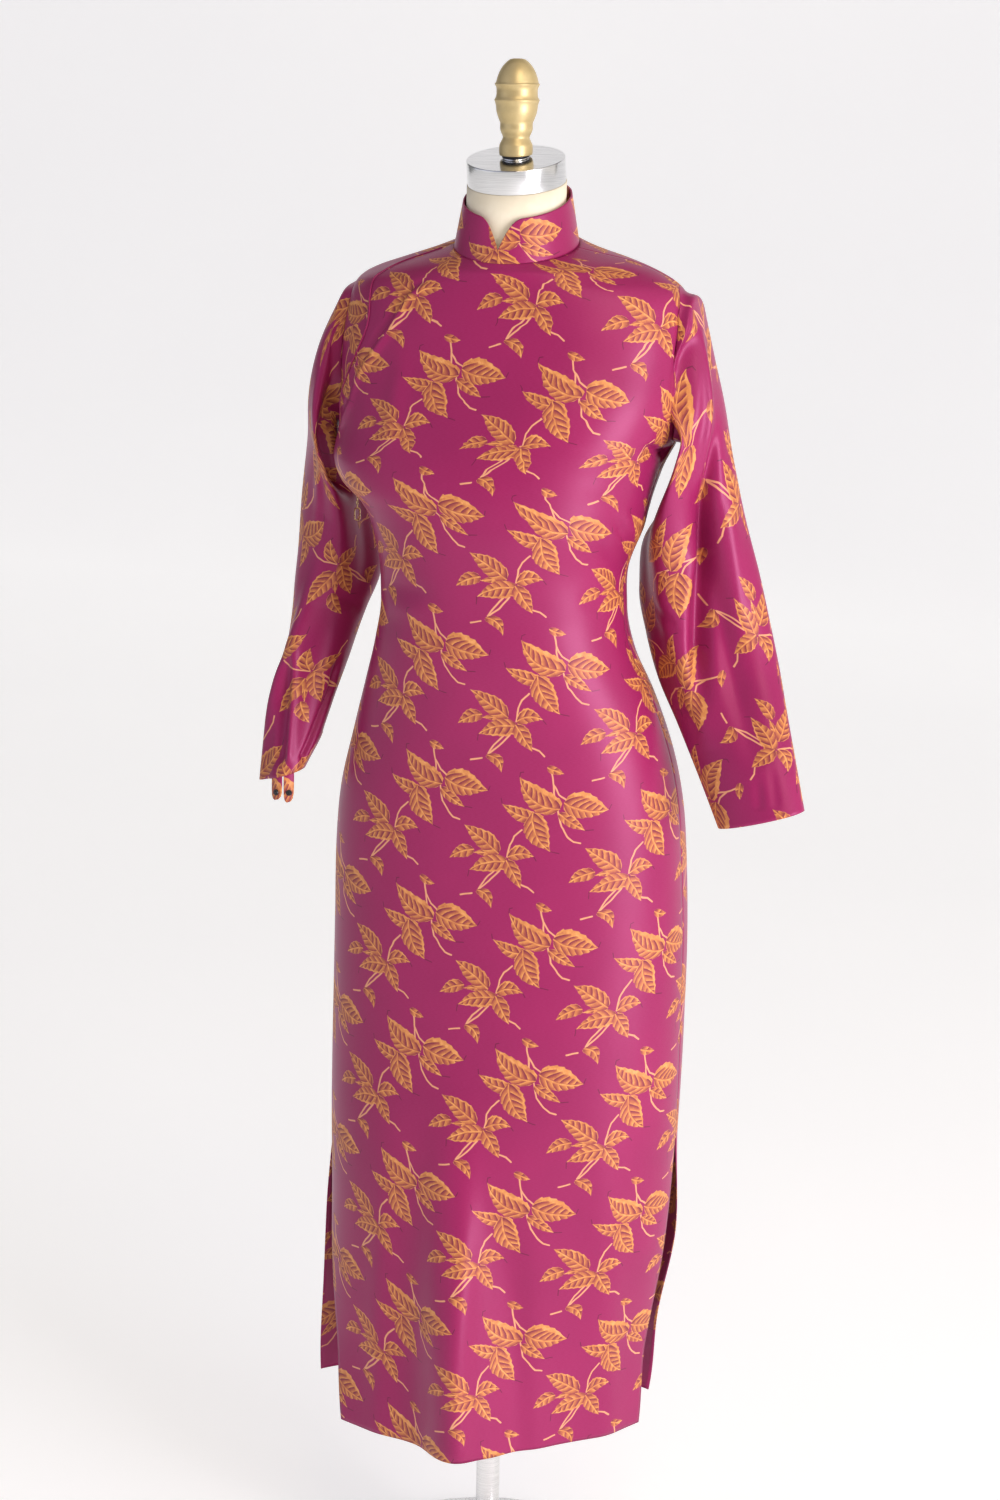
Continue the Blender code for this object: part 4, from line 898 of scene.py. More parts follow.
# The brocade's repeat, in mm of cloth: the two steps of its lattice and the chart's axes. The
# chart is drawn in its own units from the junction of each cluster's stems.
REPEAT_ACROSS = (127.0, -17.0)
REPEAT_DOWN = (-6.5, -145.5)
CHART_AXES = ((1.177, -0.041), (-0.125, 1.101))
SECOND_CLUSTER = (60.6, -62.5)
LEAF_COLUMNS = ("base_x", "base_y", "tip_x", "tip_y", "width", "bend", "rib", "shaded_side")
FIRST_LEAVES = (
    (-19.1, -14.0, -50.4, -5.7, 14.5, 2.8, 1.5, -1.0),
    (-23.0, -9.8, -7.0, -44.6, 25.0, -4.0, -2.0, 1.0),
    (1.6, -2.3, -35.1, 23.0, 25.0, 5.5, 4.0, -1.0),
    (0.0, -6.4, 23.0, -20.4, 11.5, 0.0, -1.0, 1.0),
    (4.0, 4.6, 44.0, 0.6, 27.0, 0.5, -4.5, 1.0),
    (-10.6, 36.4, 4.5, 32.5, 8.5, -1.0, 0.0, 1.0),
)
SECOND_LEAVES = (
    (-6.0, 2.6, -30.0, -0.6, 8.0, -1.5, 0.0, -1.0),
    (-28.7, 3.2, -52.3, -10.2, 13.5, -2.5, 0.5, -1.0),
    (-6.0, 4.3, -38.3, 25.5, 20.0, -1.5, 1.0, -1.0),
    (3.0, -2.6, -34.4, -17.2, 18.0, -2.5, -1.5, 1.0),
    (1.6, 2.2, 25.5, 7.4, 15.5, 5.0, -1.5, 1.0),
    (0.3, -0.9, 13.4, -25.3, 16.0, 0.5, -0.5, 1.0),
    (-27.4, -35.6, -14.0, -50.8, 12.0, 5.0, 0.0, 1.0),
)
FIRST_STEMS = (
    ((-6.4, 31.0), (-4.7, 19.1), (-4.3, 9.0)),
    ((-4.7, 20.0), (0.0, 11.5), (8.0, 6.0)),
    ((-0.6, -2.0), (1.9, -18.5), (7.7, -27.4), (12.8, -31.9), (18.5, -32.8)),
)
SECOND_STEMS = (
    ((-9.6, -12.0), (-19.8, -24.2), (-25.5, -34.0)),
    ((-5.5, -12.0), (-15.3, -24.2), (-25.0, -34.0)),
    ((-42.1, -43.4), (-31.9, -39.8)),
    ((14.7, 31.3), (7.7, 23.6), (3.8, 15.3), (1.3, 2.4)),
    ((13.4, -21.7), (19.5, -23.2), (24.2, -27.4)),
)
FIRST_HOOKS = (
    ((-35.1, 22.6), (-34.4, 27.2), (-31.6, 28.4)),
    ((44.0, 1.0), (46.0, 5.7)),
    ((22.6, -20.0), (30.0, -18.9)),
    ((-50.2, -5.5), (-51.0, -1.0)),
    ((-7.4, -44.2), (0.0, -45.4)),
)
SECOND_HOOKS = (
    ((24.9, 7.4), (27.2, 3.8)),
    ((-34.2, -17.0), (-35.1, -23.5)),
)
STEM_HALF_WIDTH = 0.85
HOOK_HALF_WIDTH = 0.45
EDGE_SOFTNESS = 0.45
FAR_AWAY = 1000.0
VEIN_SPACING = 7.6
VEIN_LEAN = 0.05
VEIN_CURVE = 0.007
LENS_FULLNESS = 7.0
LENS_LEAST_REACH = 0.5
THINNING_POWER = 1.15
PLAIN_HALF_DARK = 0.83
SHADED_HALF_MORE_DARK = 0.22
RIB_SHADOW_REACH = 2.4
RIB_SHADOW_SOFTNESS = 1.4
PLAIN_RIB_SHADOW = 0.15
SHADED_RIB_SHADOW_MORE = 0.40
RIB_HALF_WIDTH = 1.0
RIB_SOFTNESS = 0.6
BASE_DARK = 0.10
LEAF_OUTLINE = (
    (0.0, 0.0), (0.05, 0.50), (0.17, 0.86), (0.20, 0.80), (0.34, 1.0), (0.375, 0.91), (0.50, 0.93),
    (0.54, 0.80), (0.66, 0.74), (0.70, 0.59), (0.80, 0.47), (0.84, 0.33), (0.93, 0.13), (1.0, 0.0),
)


def chart_to_cloth(place):
    return Vector((*(row[0] * place[0] + row[1] * place[1] for row in CHART_AXES), 0.0))


def group_sockets(group, inputs, outputs):
    for direction, names in (("INPUT", inputs), ("OUTPUT", outputs)):
        for name, kind in names:
            group.interface.new_socket(name, in_out=direction, socket_type=f"NodeSocket{kind}")
    return group.nodes.new("NodeGroupInput").outputs, group.nodes.new("NodeGroupOutput").inputs


def leaf_group():
    """Where a point lies on one woven leaf: how far it is inside the outline, and its shade."""
    group = bpy.data.node_groups.new("brocade_leaf", "ShaderNodeTree")
    given, made = group_sockets(group, (("Point", "Vector"), ("Base", "Vector"), ("Along", "Vector"),
                                        ("Across", "Vector"), ("Length", "Float"), ("Width", "Float"),
                                        ("Bend", "Float"), ("Rib", "Float"), ("Side", "Float")),
                                (("Inside", "Float"), ("Shade", "Float")))
    offset = vector_of(group, "SUBTRACT", given["Point"], given["Base"])
    forward = vector_of(group, "DOT_PRODUCT", offset, given["Along"])
    along = math_of(group, "DIVIDE", forward, given["Length"], clamp=True)
    across = vector_of(group, "DOT_PRODUCT", offset, given["Across"])
    to_tip = minus(group, 1.0, along)
    hump = times(group, times(group, along, 4.0), to_tip)
    centred = minus(group, across, times(group, given["Bend"], hump))
    outline = curve_of(group, along, LEAF_OUTLINE)
    half = times(group, times(group, outline, given["Width"]), 0.5)
    room = minus(group, half, math_of(group, "ABSOLUTE", centred))
    inside = math_of(group, "DIVIDE", room, EDGE_SOFTNESS, clamp=True)
    from_rib = minus(group, centred, times(group, given["Rib"], hump))
    off_rib = math_of(group, "ABSOLUTE", from_rib)
    length_along = times(group, along, given["Length"])
    sweep = times(group, off_rib, math_of(group, "MULTIPLY_ADD", off_rib, VEIN_CURVE, VEIN_LEAN))
    vein = minus(group, math_of(group, "DIVIDE", length_along, VEIN_SPACING), sweep)
    step = math_of(group, "FRACT", vein)
    shaded = math_of(group, "GREATER_THAN", times(group, from_rib, given["Side"]), 0.0)
    # Between two veins the gold thins out from the further vein to the nearer one, within a lens
    reach = math_of(group, "DIVIDE", off_rib, math_of(group, "MAXIMUM", half, LENS_LEAST_REACH), clamp=True)
    lens = times(group, times(group, reach, LENS_FULLNESS), minus(group, 1.0, reach), clamp=True)
    thin = math_of(group, "POWER", minus(group, 1.0, step), THINNING_POWER)
    depth = math_of(group, "MULTIPLY_ADD", shaded, SHADED_HALF_MORE_DARK, PLAIN_HALF_DARK)
    dark = times(group, times(group, thin, lens), depth)
    near_rib = minus(group, RIB_SHADOW_REACH, off_rib)
    near_rib = math_of(group, "DIVIDE", near_rib, RIB_SHADOW_SOFTNESS, clamp=True)
    depth = math_of(group, "MULTIPLY_ADD", shaded, SHADED_RIB_SHADOW_MORE, PLAIN_RIB_SHADOW)
    dark = math_of(group, "MAXIMUM", dark, times(group, near_rib, depth))
    rib_line = math_of(group, "DIVIDE", minus(group, RIB_HALF_WIDTH, off_rib), RIB_SOFTNESS, clamp=True)
    dark = times(group, dark, minus(group, 1.0, rib_line))
    dark = math_of(group, "ADD", dark, times(group, to_tip, BASE_DARK))
    plug(group, made["Inside"], inside)
    plug(group, made["Shade"], minus(group, 1.0, dark))
    return group


def stem_group():
    """Distance of a point from one straight piece of stem."""
    group = bpy.data.node_groups.new("brocade_stem", "ShaderNodeTree")
    given, made = group_sockets(group, (("Point", "Vector"), ("Start", "Vector"), ("Step", "Vector"),
                                        ("Scale", "Float")), (("Distance", "Float"),))
    offset = vector_of(group, "SUBTRACT", given["Point"], given["Start"])
    share = times(group, vector_of(group, "DOT_PRODUCT", offset, given["Step"]), given["Scale"], clamp=True)
    away = vector_of(group, "SUBTRACT", offset, scaled(group, given["Step"], share))
    plug(group, made["Distance"], vector_of(group, "LENGTH", away))
    return group


def brocade_group():
    """The woven pattern at a place of the cloth: how much leaf thread shows, its shade, and the hooks."""
    leaf, stem = leaf_group(), stem_group()
    group = bpy.data.node_groups.new("brocade", "ShaderNodeTree")
    shown = (("Leaf", "Float"), ("Shade", "Float"), ("Stem", "Float"), ("Hook", "Float"))
    given, made = group_sockets(group, (("Place", "Vector"),), shown)
    across, down = Vector((*REPEAT_ACROSS, 0.0)), Vector((*REPEAT_DOWN, 0.0))
    span = across.x * down.y - across.y * down.x
    first_row = Vector((down.y, -down.x, 0.0)) / span
    second_row = Vector((-across.y, across.x, 0.0)) / span
    inside_all, shade_all = 0.0, 1.0
    nearest = {"Stem": FAR_AWAY, "Hook": FAR_AWAY}
    for leaves, stems, hooks, origin in ((FIRST_LEAVES, FIRST_STEMS, FIRST_HOOKS, (0.0, 0.0)),
                                         (SECOND_LEAVES, SECOND_STEMS, SECOND_HOOKS, SECOND_CLUSTER)):
        place = vector_of(group, "SUBTRACT", given["Place"], chart_to_cloth(origin))
        parts = []
        for row, step in ((first_row, across), (second_row, down)):
            share = math_of(group, "WRAP", vector_of(group, "DOT_PRODUCT", place, row), 0.5, -0.5)
            parts.append(scaled(group, step, share))
        local = vector_of(group, "ADD", *parts)
        for number, row in enumerate(leaves):
            shape = dict(zip(LEAF_COLUMNS, row))
            base = chart_to_cloth((shape["base_x"], shape["base_y"]))
            tip = chart_to_cloth((shape["tip_x"], shape["tip_y"]))
            along = (tip - base).normalized()
            width, bend, rib = (shape[name] * CHART_AXES[1][1] for name in ("width", "bend", "rib"))
            shown = group_of(group, leaf, Point=local, Base=base, Along=along, Length=(tip - base).length,
                             Across=Vector((-along.y, along.x, 0.0)), Width=width, Bend=bend, Rib=rib,
                             Side=shape["shaded_side"])
            mix = group.nodes.new("ShaderNodeMix")
            plug(group, mix.inputs["Factor"], shown["Inside"])
            plug(group, mix.inputs[2], shade_all)
            plug(group, mix.inputs[3], shown["Shade"])
            shade_all = mix.outputs[0]
            inside_all = math_of(group, "MAXIMUM", inside_all, shown["Inside"])
        for kind, lines in (("Stem", stems), ("Hook", hooks)):
            for start, end in (pair for line in lines for pair in zip(line[:-1], line[1:])):
                begin = chart_to_cloth(start)
                step = chart_to_cloth(end) - begin
                distance = group_of(group, stem, Point=local, Start=begin, Step=step,
                                    Scale=1.0 / step.length_squared)["Distance"]
                nearest[kind] = math_of(group, "MINIMUM", nearest[kind], distance)
    plug(group, made["Leaf"], inside_all)
    plug(group, made["Shade"], shade_all)
    for name, half_width in (("Stem", STEM_HALF_WIDTH), ("Hook", HOOK_HALF_WIDTH)):
        room = minus(group, half_width, nearest[name])
        plug(group, made[name], math_of(group, "MULTIPLY_ADD", room, 1.0 / EDGE_SOFTNESS, 0.5, clamp=True))
    return group


SATIN_COLOUR = (0.315, 0.014, 0.092)
SATIN_SHADE = (0.225, 0.010, 0.068)
# Colour of the painted glint along the satin's threads, a painted sheen
THREAD_GLINT_COLOUR = (0.40, 0.04, 0.16)
HOOK_COLOUR = (0.14, 0.012, 0.045)
STEM_COLOUR = (0.72, 0.33, 0.17)
LEAF_RAMP = ((0.0, (0.195, 0.028, 0.045)), (0.30, (0.33, 0.075, 0.050)), (0.60, (0.51, 0.175, 0.058)),
             (0.85, (0.66, 0.275, 0.078)), (1.0, (0.76, 0.36, 0.125)))
MM = 1000.0
WOVEN_SWAY = 1.5
# Noise scales per mm of cloth, and how far the threads are stretched across and along
SATIN_CLOUDS = 0.010
LEAF_CLOUDS = 0.14
GROUND_THREADS = (0.25, 2.6, 1.0)
LEAF_THREADS = (2.2, 0.35, 1.0)
SATIN_ROUGHNESS = 0.32
WOVEN_ROUGHNESS = 0.12
THREAD_ROUGHNESS = 0.08
THREAD_RELIEF = 0.00012
SATIN_SPECULAR = 0.45
SATIN_TINT = (1.0, 0.55, 0.80, 1.0)


def satin_material(name, turn, shift):
    """Satin brocade; turn, in degrees, and shift, in metres, lay the repeat on this piece's map."""
    material, tree, shader = material_tree(name)
    source = tree.nodes.new("ShaderNodeUVMap")
    source.uv_map = "cloth"
    mapping = tree.nodes.new("ShaderNodeMapping")
    mapping.vector_type = "POINT"
    mapping.inputs["Location"].default_value = (shift[0] * MM, shift[1] * MM, 0.0)
    mapping.inputs["Rotation"].default_value = (0.0, 0.0, math.radians(turn))
    mapping.inputs["Scale"].default_value = (MM, MM, MM)
    plug(tree, mapping.inputs["Vector"], source.outputs["UV"])
    place = mapping.outputs["Vector"]
    sway = tree.nodes.new("ShaderNodeCombineXYZ")
    for axis, scale, width in ((0, 0.06, WOVEN_SWAY), (1, 0.05, -WOVEN_SWAY)):
        wander = noise_of(tree, place, scale, 1.0)
        plug(tree, sway.inputs[axis], math_of(tree, "MULTIPLY_ADD", wander, 2.0 * width, -width))
    pattern = group_of(tree, brocade, Place=vector_of(tree, "ADD", place, sway.outputs[0]))
    ground = mix_of(tree, noise_of(tree, place, SATIN_CLOUDS, 2.0), SATIN_SHADE, SATIN_COLOUR)
    thread = noise_of(tree, vector_of(tree, "MULTIPLY", place, GROUND_THREADS), 1.0, 1.0)
    # Lighter streaks along the threads: a painted glint standing in for the satin's sheen
    glint = math_of(tree, "MULTIPLY_ADD", thread, 0.5, -0.1, clamp=True)
    ground = mix_of(tree, glint, ground, THREAD_GLINT_COLOUR)
    leaf_threads = noise_of(tree, vector_of(tree, "MULTIPLY", place, LEAF_THREADS), 1.0, 1.0)
    cloud = math_of(tree, "MULTIPLY_ADD", noise_of(tree, place, LEAF_CLOUDS, 1.0), 0.9, 0.42, clamp=True)
    shade = math_of(tree, "MULTIPLY_ADD", math_of(tree, "SUBTRACT", leaf_threads, 0.5), 0.36,
                    math_of(tree, "MULTIPLY", pattern["Shade"], cloud), clamp=True)
    colour = mix_of(tree, pattern["Hook"], ground, HOOK_COLOUR)
    colour = mix_of(tree, pattern["Stem"], colour, STEM_COLOUR)
    colour = mix_of(tree, pattern["Leaf"], colour, ramp_of(tree, shade, LEAF_RAMP))
    plug(tree, shader.inputs["Base Color"], colour)
    woven = math_of(tree, "MAXIMUM", pattern["Leaf"], pattern["Stem"])
    rough = math_of(tree, "MULTIPLY_ADD", woven, WOVEN_ROUGHNESS, SATIN_ROUGHNESS)
    plug(tree, shader.inputs["Roughness"], math_of(tree, "MULTIPLY_ADD", thread, THREAD_ROUGHNESS, rough))
    shader.inputs["Specular IOR Level"].default_value = SATIN_SPECULAR
    shader.inputs["Specular Tint"].default_value = SATIN_TINT
    plug(tree, shader.inputs["Normal"], bump_of(tree, thread, THREAD_RELIEF, 0.5))
    return material


brocade = brocade_group()


# Grids of the form, and of the turned parts
FORM_GRID = 96
FORM_STEP = 0.008
FORM_INSET = 0.0008
NECK_STEPS = 9
ROUND_GRID = 96
CAP_EDGE = 0.0009
CAP_EDGE_STEPS = 5
FINIAL_STEPS = 130
SEAT_GAP = 0.0002
# The turned finial from its foot to its flat top, with a slightly sloping foot
FINIAL_SHAPE = (
    (-0.0021, 0.0164), (-0.0005, 0.0168), (0.0058, 0.0168), (0.0079, 0.0165), (0.0110, 0.0150),
    (0.0147, 0.0135), (0.0171, 0.0142), (0.0194, 0.0153), (0.0225, 0.0163), (0.0293, 0.0166),
    (0.0330, 0.0181), (0.0393, 0.0202), (0.0476, 0.0215), (0.0503, 0.0224), (0.0515, 0.0229),
    (0.0524, 0.0222), (0.0544, 0.0212), (0.0581, 0.0207), (0.0628, 0.0209), (0.0660, 0.0222),
    (0.0672, 0.0229), (0.0680, 0.0218), (0.0707, 0.0209), (0.0759, 0.0193), (0.0811, 0.0170),
    (0.0853, 0.0142), (0.0885, 0.0112), (0.0906, 0.0084), (0.0918, 0.0058), (0.0920, 0.0040),
)
FOOT_SLOPE = 0.12
FOOT_SLOPE_FADE = 0.012
BOSS_RADIUS = 0.0135
WASHER_SHARES = (0.46, 1.0)
BOSS_SHARES = (0.0, 0.44)


def turned_solid(name, rings):
    """A closed solid from stacked rings of points, with a flat face on each end."""
    rows, columns = rings.shape[:2]
    row, column = (part.ravel() for part in np.mgrid[0:rows - 1, 0:columns])
    a = row * columns + column
    b = row * columns + (column + 1) % columns
    faces = np.stack((a, b, b + columns, a + columns), axis=1).tolist()
    ends = [list(range(columns))[::-1], list(range((rows - 1) * columns, rows * columns))]
    mesh = bpy.data.meshes.new(name)
    mesh.from_pydata(rings.reshape(-1, 3).tolist(), [], faces + ends)
    mesh.polygons.foreach_set("use_smooth", [True] * len(faces) + [False, False])
    mesh.update()
    return add_piece(name, mesh)


def lathe(name, ups, radii, matrix=None):
    """A turned solid about +Z, or about the upward axis of a matrix."""
    turn = full_turn(ROUND_GRID)
    ups, radii = np.asarray(ups)[:, None], np.asarray(radii)[:, None]
    rings = np.stack((radii * np.cos(turn), radii * np.sin(turn), ups + 0.0 * turn), axis=-1)
    if matrix is not None:
        rings = rings @ np.array(matrix.to_3x3()).T + np.array(matrix.translation)
    return turned_solid(name, rings)


def cap_matrix():
    """Frame of the tilted neck plate: its origin is the middle of the cap's top."""
    return Matrix.Translation((0.0, 0.0, CAP_TOP)) @ Matrix.Rotation(NECK_TILT, 4, "X")


def form_shell(angle, height):
    """The dress's sections without folds or twist."""
    section = table_at(BODY_COLUMNS, BODY_SECTIONS, height)
    across, back = directions(angle)
    radius = section_radius(section, across, back)
    x, y = across * radius + section["centre_x"], back * radius + section["centre_y"]
    return raised(section, x, y, height)


def build_form():
    """Padded torso and neck of the form, just inside the dress."""
    angles = 360.0 * np.arange(FORM_GRID) / FORM_GRID
    heights = np.linspace(FORM_BOTTOM, NECK_HEIGHT, int((NECK_HEIGHT - FORM_BOTTOM) / FORM_STEP))
    angle, height = np.meshgrid(angles, heights)
    shell = form_shell(angle, height)
    inwards = -grid_normals(shell, True, False)
    inwards[height < ARMPIT_HEIGHT, 2] = 0.0
    inwards /= np.linalg.norm(inwards, axis=2, keepdims=True)
    depth = FORM_CLEARANCE + FORM_INSET + table_at(FORM_EASE_COLUMNS, FORM_EASE, height)["ease"]
    torso = shell + inwards * depth[..., None]
    torso = creased(torso)
    circle = np.stack((np.sin(np.radians(angles)), -np.cos(np.radians(angles))), axis=-1)
    levels = np.linspace(NECK_RINGS[0][0], NECK_RINGS[-1][0], NECK_STEPS)
    ring = table_at(NECK_COLUMNS, NECK_RINGS, levels[:, None])
    x = circle[None, :, 0] * ring["radius"]
    y = circle[None, :, 1] * ring["radius"] + ring["centre_y"]
    neck = np.stack((x, y, ring["height"] + math.tan(NECK_TILT) * y), axis=-1)
    frame_turn = np.array(cap_matrix().to_3x3())
    end = np.concatenate((circle * NECK_RADIUS, np.full((FORM_GRID, 1), -CAP_HEIGHT)), axis=1)
    end = end @ frame_turn.T + np.array(cap_matrix().translation)
    return turned_solid("form_canvas", np.concatenate((torso, neck, end[None])))


def build_cap():
    quarter = np.radians(np.linspace(0.0, 90.0, CAP_EDGE_STEPS))
    low = [-CAP_HEIGHT + CAP_EDGE * (1.0 - math.cos(turn)) for turn in quarter]
    radii = [CAP_RADIUS - CAP_EDGE * (1.0 - math.sin(turn)) for turn in quarter]
    ups = low + [-CAP_EDGE * (1.0 - math.cos(turn)) for turn in quarter[::-1]]
    return lathe("neck_plate", ups, radii + radii[::-1], cap_matrix())


def seat_height(y):
    """Height of the neck plate's tilted top at a place."""
    return CAP_TOP + y * math.tan(NECK_TILT) + SEAT_GAP


def foot_height(y):
    """Height of the finial's foot at a place."""
    return FINIAL_BOTTOM + FINIAL_SHAPE[0][0] + y * FOOT_SLOPE


def build_finial():
    """Turned knob with two thin ridges and a nearly flat top."""
    ups = np.linspace(FINIAL_SHAPE[0][0], FINIAL_SHAPE[-1][0], FINIAL_STEPS)
    radii = table_at(FINIAL_COLUMNS, FINIAL_SHAPE, ups)["radius"]
    turn = full_turn(ROUND_GRID)
    y = radii[:, None] * np.sin(turn)
    height = ups[:, None] + FINIAL_BOTTOM + 0.0 * turn
    height[0] = foot_height(y[0])
    lean = np.clip(1.0 - (ups - ups[0]) / FOOT_SLOPE_FADE, 0.0, 1.0)[:, None]
    height[1:] += (y * FOOT_SLOPE * lean)[1:]
    return turned_solid("turned_finial", np.stack((radii[:, None] * np.cos(turn), y, height), axis=-1))


def spacer(name, radius, shares):
    """Round spacer that fills part of the wedge between the neck plate and the finial's foot."""
    turn = full_turn(ROUND_GRID)
    x, y = radius * np.cos(turn), radius * np.sin(turn)
    wedge = foot_height(y) - SEAT_GAP - seat_height(y)
    rings = [np.stack((x, y, seat_height(y) + share * wedge), axis=-1) for share in shares]
    return turned_solid(name, np.stack(rings))


def place_of(tree):
    """Coordinates of the object's own surface, in metres."""
    return tree.nodes.new("ShaderNodeTexCoord").outputs["Object"]


def settle(tree, shader, colour, roughness, metallic=0.0, normal=None):
    """Set the main inputs of a shader from plain values or from sockets."""
    for name, value in (("Base Color", colour), ("Roughness", roughness), ("Metallic", metallic),
                        ("Normal", normal)):
        plug(tree, shader.inputs[name], value)


def axis_of(tree, vector):
    node = tree.nodes.new("ShaderNodeSeparateXYZ")
    plug(tree, node.inputs[0], vector)
    return node.outputs


def canvas_material():
    """Unbleached canvas in a plain weave, with a seam down the centre front and back."""
    material, tree, shader = material_tree("cream_canvas")
    place = place_of(tree)
    x, y, z = axis_of(tree, place)
    mottle = noise_of(tree, place, 38.0, 3.0)
    colour = ramp_of(tree, mottle, [(0.30, CANVAS_SHADE), (0.70, CANVAS_COLOUR)])
    seam = math_of(tree, "COMPARE", x, CANVAS_SEAM_X, CANVAS_SEAM_WIDTH)
    colour = mix_of(tree, times(tree, seam, CANVAS_SEAM_DEPTH), colour, CANVAS_SHADE)
    across = math_of(tree, "SINE", times(tree, math_of(tree, "ADD", x, y), CANVAS_THREADS))
    upward = math_of(tree, "SINE", times(tree, z, CANVAS_THREADS))
    slubs = times(tree, noise_of(tree, place, CANVAS_SLUBS), 2.0)
    uneven = math_of(tree, "ADD", times(tree, across, upward), slubs)
    settle(tree, shader, colour, CANVAS_ROUGHNESS, normal=bump_of(tree, uneven, CANVAS_RELIEF, 0.5))
    return material


CANVAS_COLOUR = (0.83, 0.76, 0.60)
CANVAS_SHADE = (0.76, 0.68, 0.51)
CANVAS_ROUGHNESS = 0.88
CANVAS_SEAM_X = 0.0
CANVAS_SEAM_WIDTH = 0.0007
CANVAS_SEAM_DEPTH = 0.22
CANVAS_THREADS = 5200.0
CANVAS_SLUBS = 900.0
CANVAS_RELIEF = 0.00005

# Shades of the metals and paints, at places of their noise from 0 to 1
GOLD_PAINT_TONES = ((0.30, (0.50, 0.375, 0.165)), (0.70, (0.60, 0.465, 0.225)))
GOLD_FLECK = (0.80, 0.68, 0.40)
ENAMEL_TONES = ((0.50, (0.012, 0.012, 0.016)), (0.80, (0.060, 0.060, 0.070)))
ZIP_GOLD_TONES = ((0.35, (0.62, 0.43, 0.18)), (0.65, (0.92, 0.72, 0.36)))
STEEL_SHADE_SHARE = 0.84
STEEL_DUST_ROUGHNESS = 0.10
RING_STRETCH = (30.0, 30.0, 2600.0)
GRAIN_STRETCH = (400.0, 400.0, 400.0)
FINE_RELIEF = 0.00002


def turn_share(tree, direction):
    """A direction about +Z as a share of a turn, 0.5 towards the camera's side."""
    azimuth = math.radians(CAMERA_AZIMUTH)
    beside = vector_of(tree, "DOT_PRODUCT", direction, (math.cos(azimuth), math.sin(azimuth), 0.0))
    before = vector_of(tree, "DOT_PRODUCT", direction, (math.sin(azimuth), -math.cos(azimuth), 0.0))
    turn = math_of(tree, "ARCTAN2", beside, before)
    return math_of(tree, "ADD", times(tree, turn, 0.5 / math.pi), 0.5)


def steel_material(name, colour, roughness, turned):
    """Brushed steel, with fine rings or a fine grain."""
    material, tree, shader = material_tree(name)
    place = place_of(tree)
    stretch = tree.nodes.new("ShaderNodeMapping")
    plug(tree, stretch.inputs["Vector"], place)
    stretch.inputs["Scale"].default_value = RING_STRETCH if turned else GRAIN_STRETCH
    grain = noise_of(tree, stretch.outputs["Vector"], 1.0, 2.0)
    dust = noise_of(tree, place, 24.0, 3.0)
    shade = tuple(STEEL_SHADE_SHARE * part for part in colour)
    dulled = times(tree, dust, STEEL_DUST_ROUGHNESS)
    rough = math_of(tree, "ADD", dulled, roughness - STEEL_DUST_ROUGHNESS / 2.0)
    settle(tree, shader, ramp_of(tree, grain, ((0.35, shade), (0.60, colour))), rough, 1.0,
           bump_of(tree, grain, FINE_RELIEF, 0.25))
    return material


def gold_paint_material():
    """Satin gold-bronze paint, clouded and finely flecked."""
    material, tree, shader = material_tree("gold_bronze_paint")
    place = place_of(tree)
    fleck = noise_of(tree, place, 1400.0, 2.0)
    cloud = noise_of(tree, place, 60.0, 3.0)
    colour = mix_of(tree, times(tree, fleck, 0.2), ramp_of(tree, cloud, GOLD_PAINT_TONES), GOLD_FLECK)
    settle(tree, shader, colour, 0.40, 0.55, bump_of(tree, fleck, FINE_RELIEF, 0.3))
    return material


def enamel_material():
    """Black enamel on small fasteners, worn brighter in places."""
    material, tree, shader = material_tree("black_enamel")
    wear = noise_of(tree, place_of(tree), 700.0, 3.0)
    settle(tree, shader, ramp_of(tree, wear, ENAMEL_TONES), 0.28, 0.35)
    return material


def zip_gold_material():
    """Gold-coloured zip metal, tarnished a little in places."""
    material, tree, shader = material_tree("zip_gold")
    wear = noise_of(tree, place_of(tree), 500.0, 3.0)
    rough = math_of(tree, "ADD", times(tree, wear, 0.25), 0.15)
    settle(tree, shader, ramp_of(tree, wear, ZIP_GOLD_TONES), rough, 1.0)
    return material


def paint_node(name, material):
    """Give a solid that is shown as it is a finished material."""
    solid = bpy.data.objects[name]
    if not solid.material_slots:
        solid.data.materials.append(material)
    for slot in solid.material_slots:
        slot.material = material


# Teeth of the side zip: heights they run between, their pitch, and half the size of one
ZIP_TEETH_HEIGHTS = (0.955, 1.2115)
ZIP_TEETH_PITCH = 0.0015
ZIP_TOOTH = (0.00045, 0.00135, 0.00050)
ZIP_TOOTH_STAGGER = 0.0006
ZIP_TOOTH_PROUD = 0.6


def build_zip_teeth():
    """Two staggered rows of small teeth along the right side seam."""
    heights = np.arange(*ZIP_TEETH_HEIGHTS, ZIP_TEETH_PITCH)
    centres = creased(body_points(-90.0, heights))
    centres[:, 0] -= ZIP_TOOTH[0] * ZIP_TOOTH_PROUD
    centres[:, 1] += np.where(np.arange(len(heights)) % 2 == 0, ZIP_TOOTH_STAGGER, -ZIP_TOOTH_STAGGER)
    made = bmesh.new()
    for centre in centres:
        place = Matrix.Translation(centre) @ Matrix.Diagonal((*(2.0 * half for half in ZIP_TOOTH), 1.0))
        bmesh.ops.create_cube(made, size=1.0, matrix=place)
    mesh = bpy.data.meshes.new("zip_teeth")
    made.to_mesh(mesh)
    made.free()
    return add_piece("zip_teeth", mesh)


# The narrow turned edge of the front's opening
EDGE_ROLL_HEIGHTS = (1.262, 1.468)
EDGE_ROLL_RADIUS = 0.0011
EDGE_ROLL_SIDES = 10


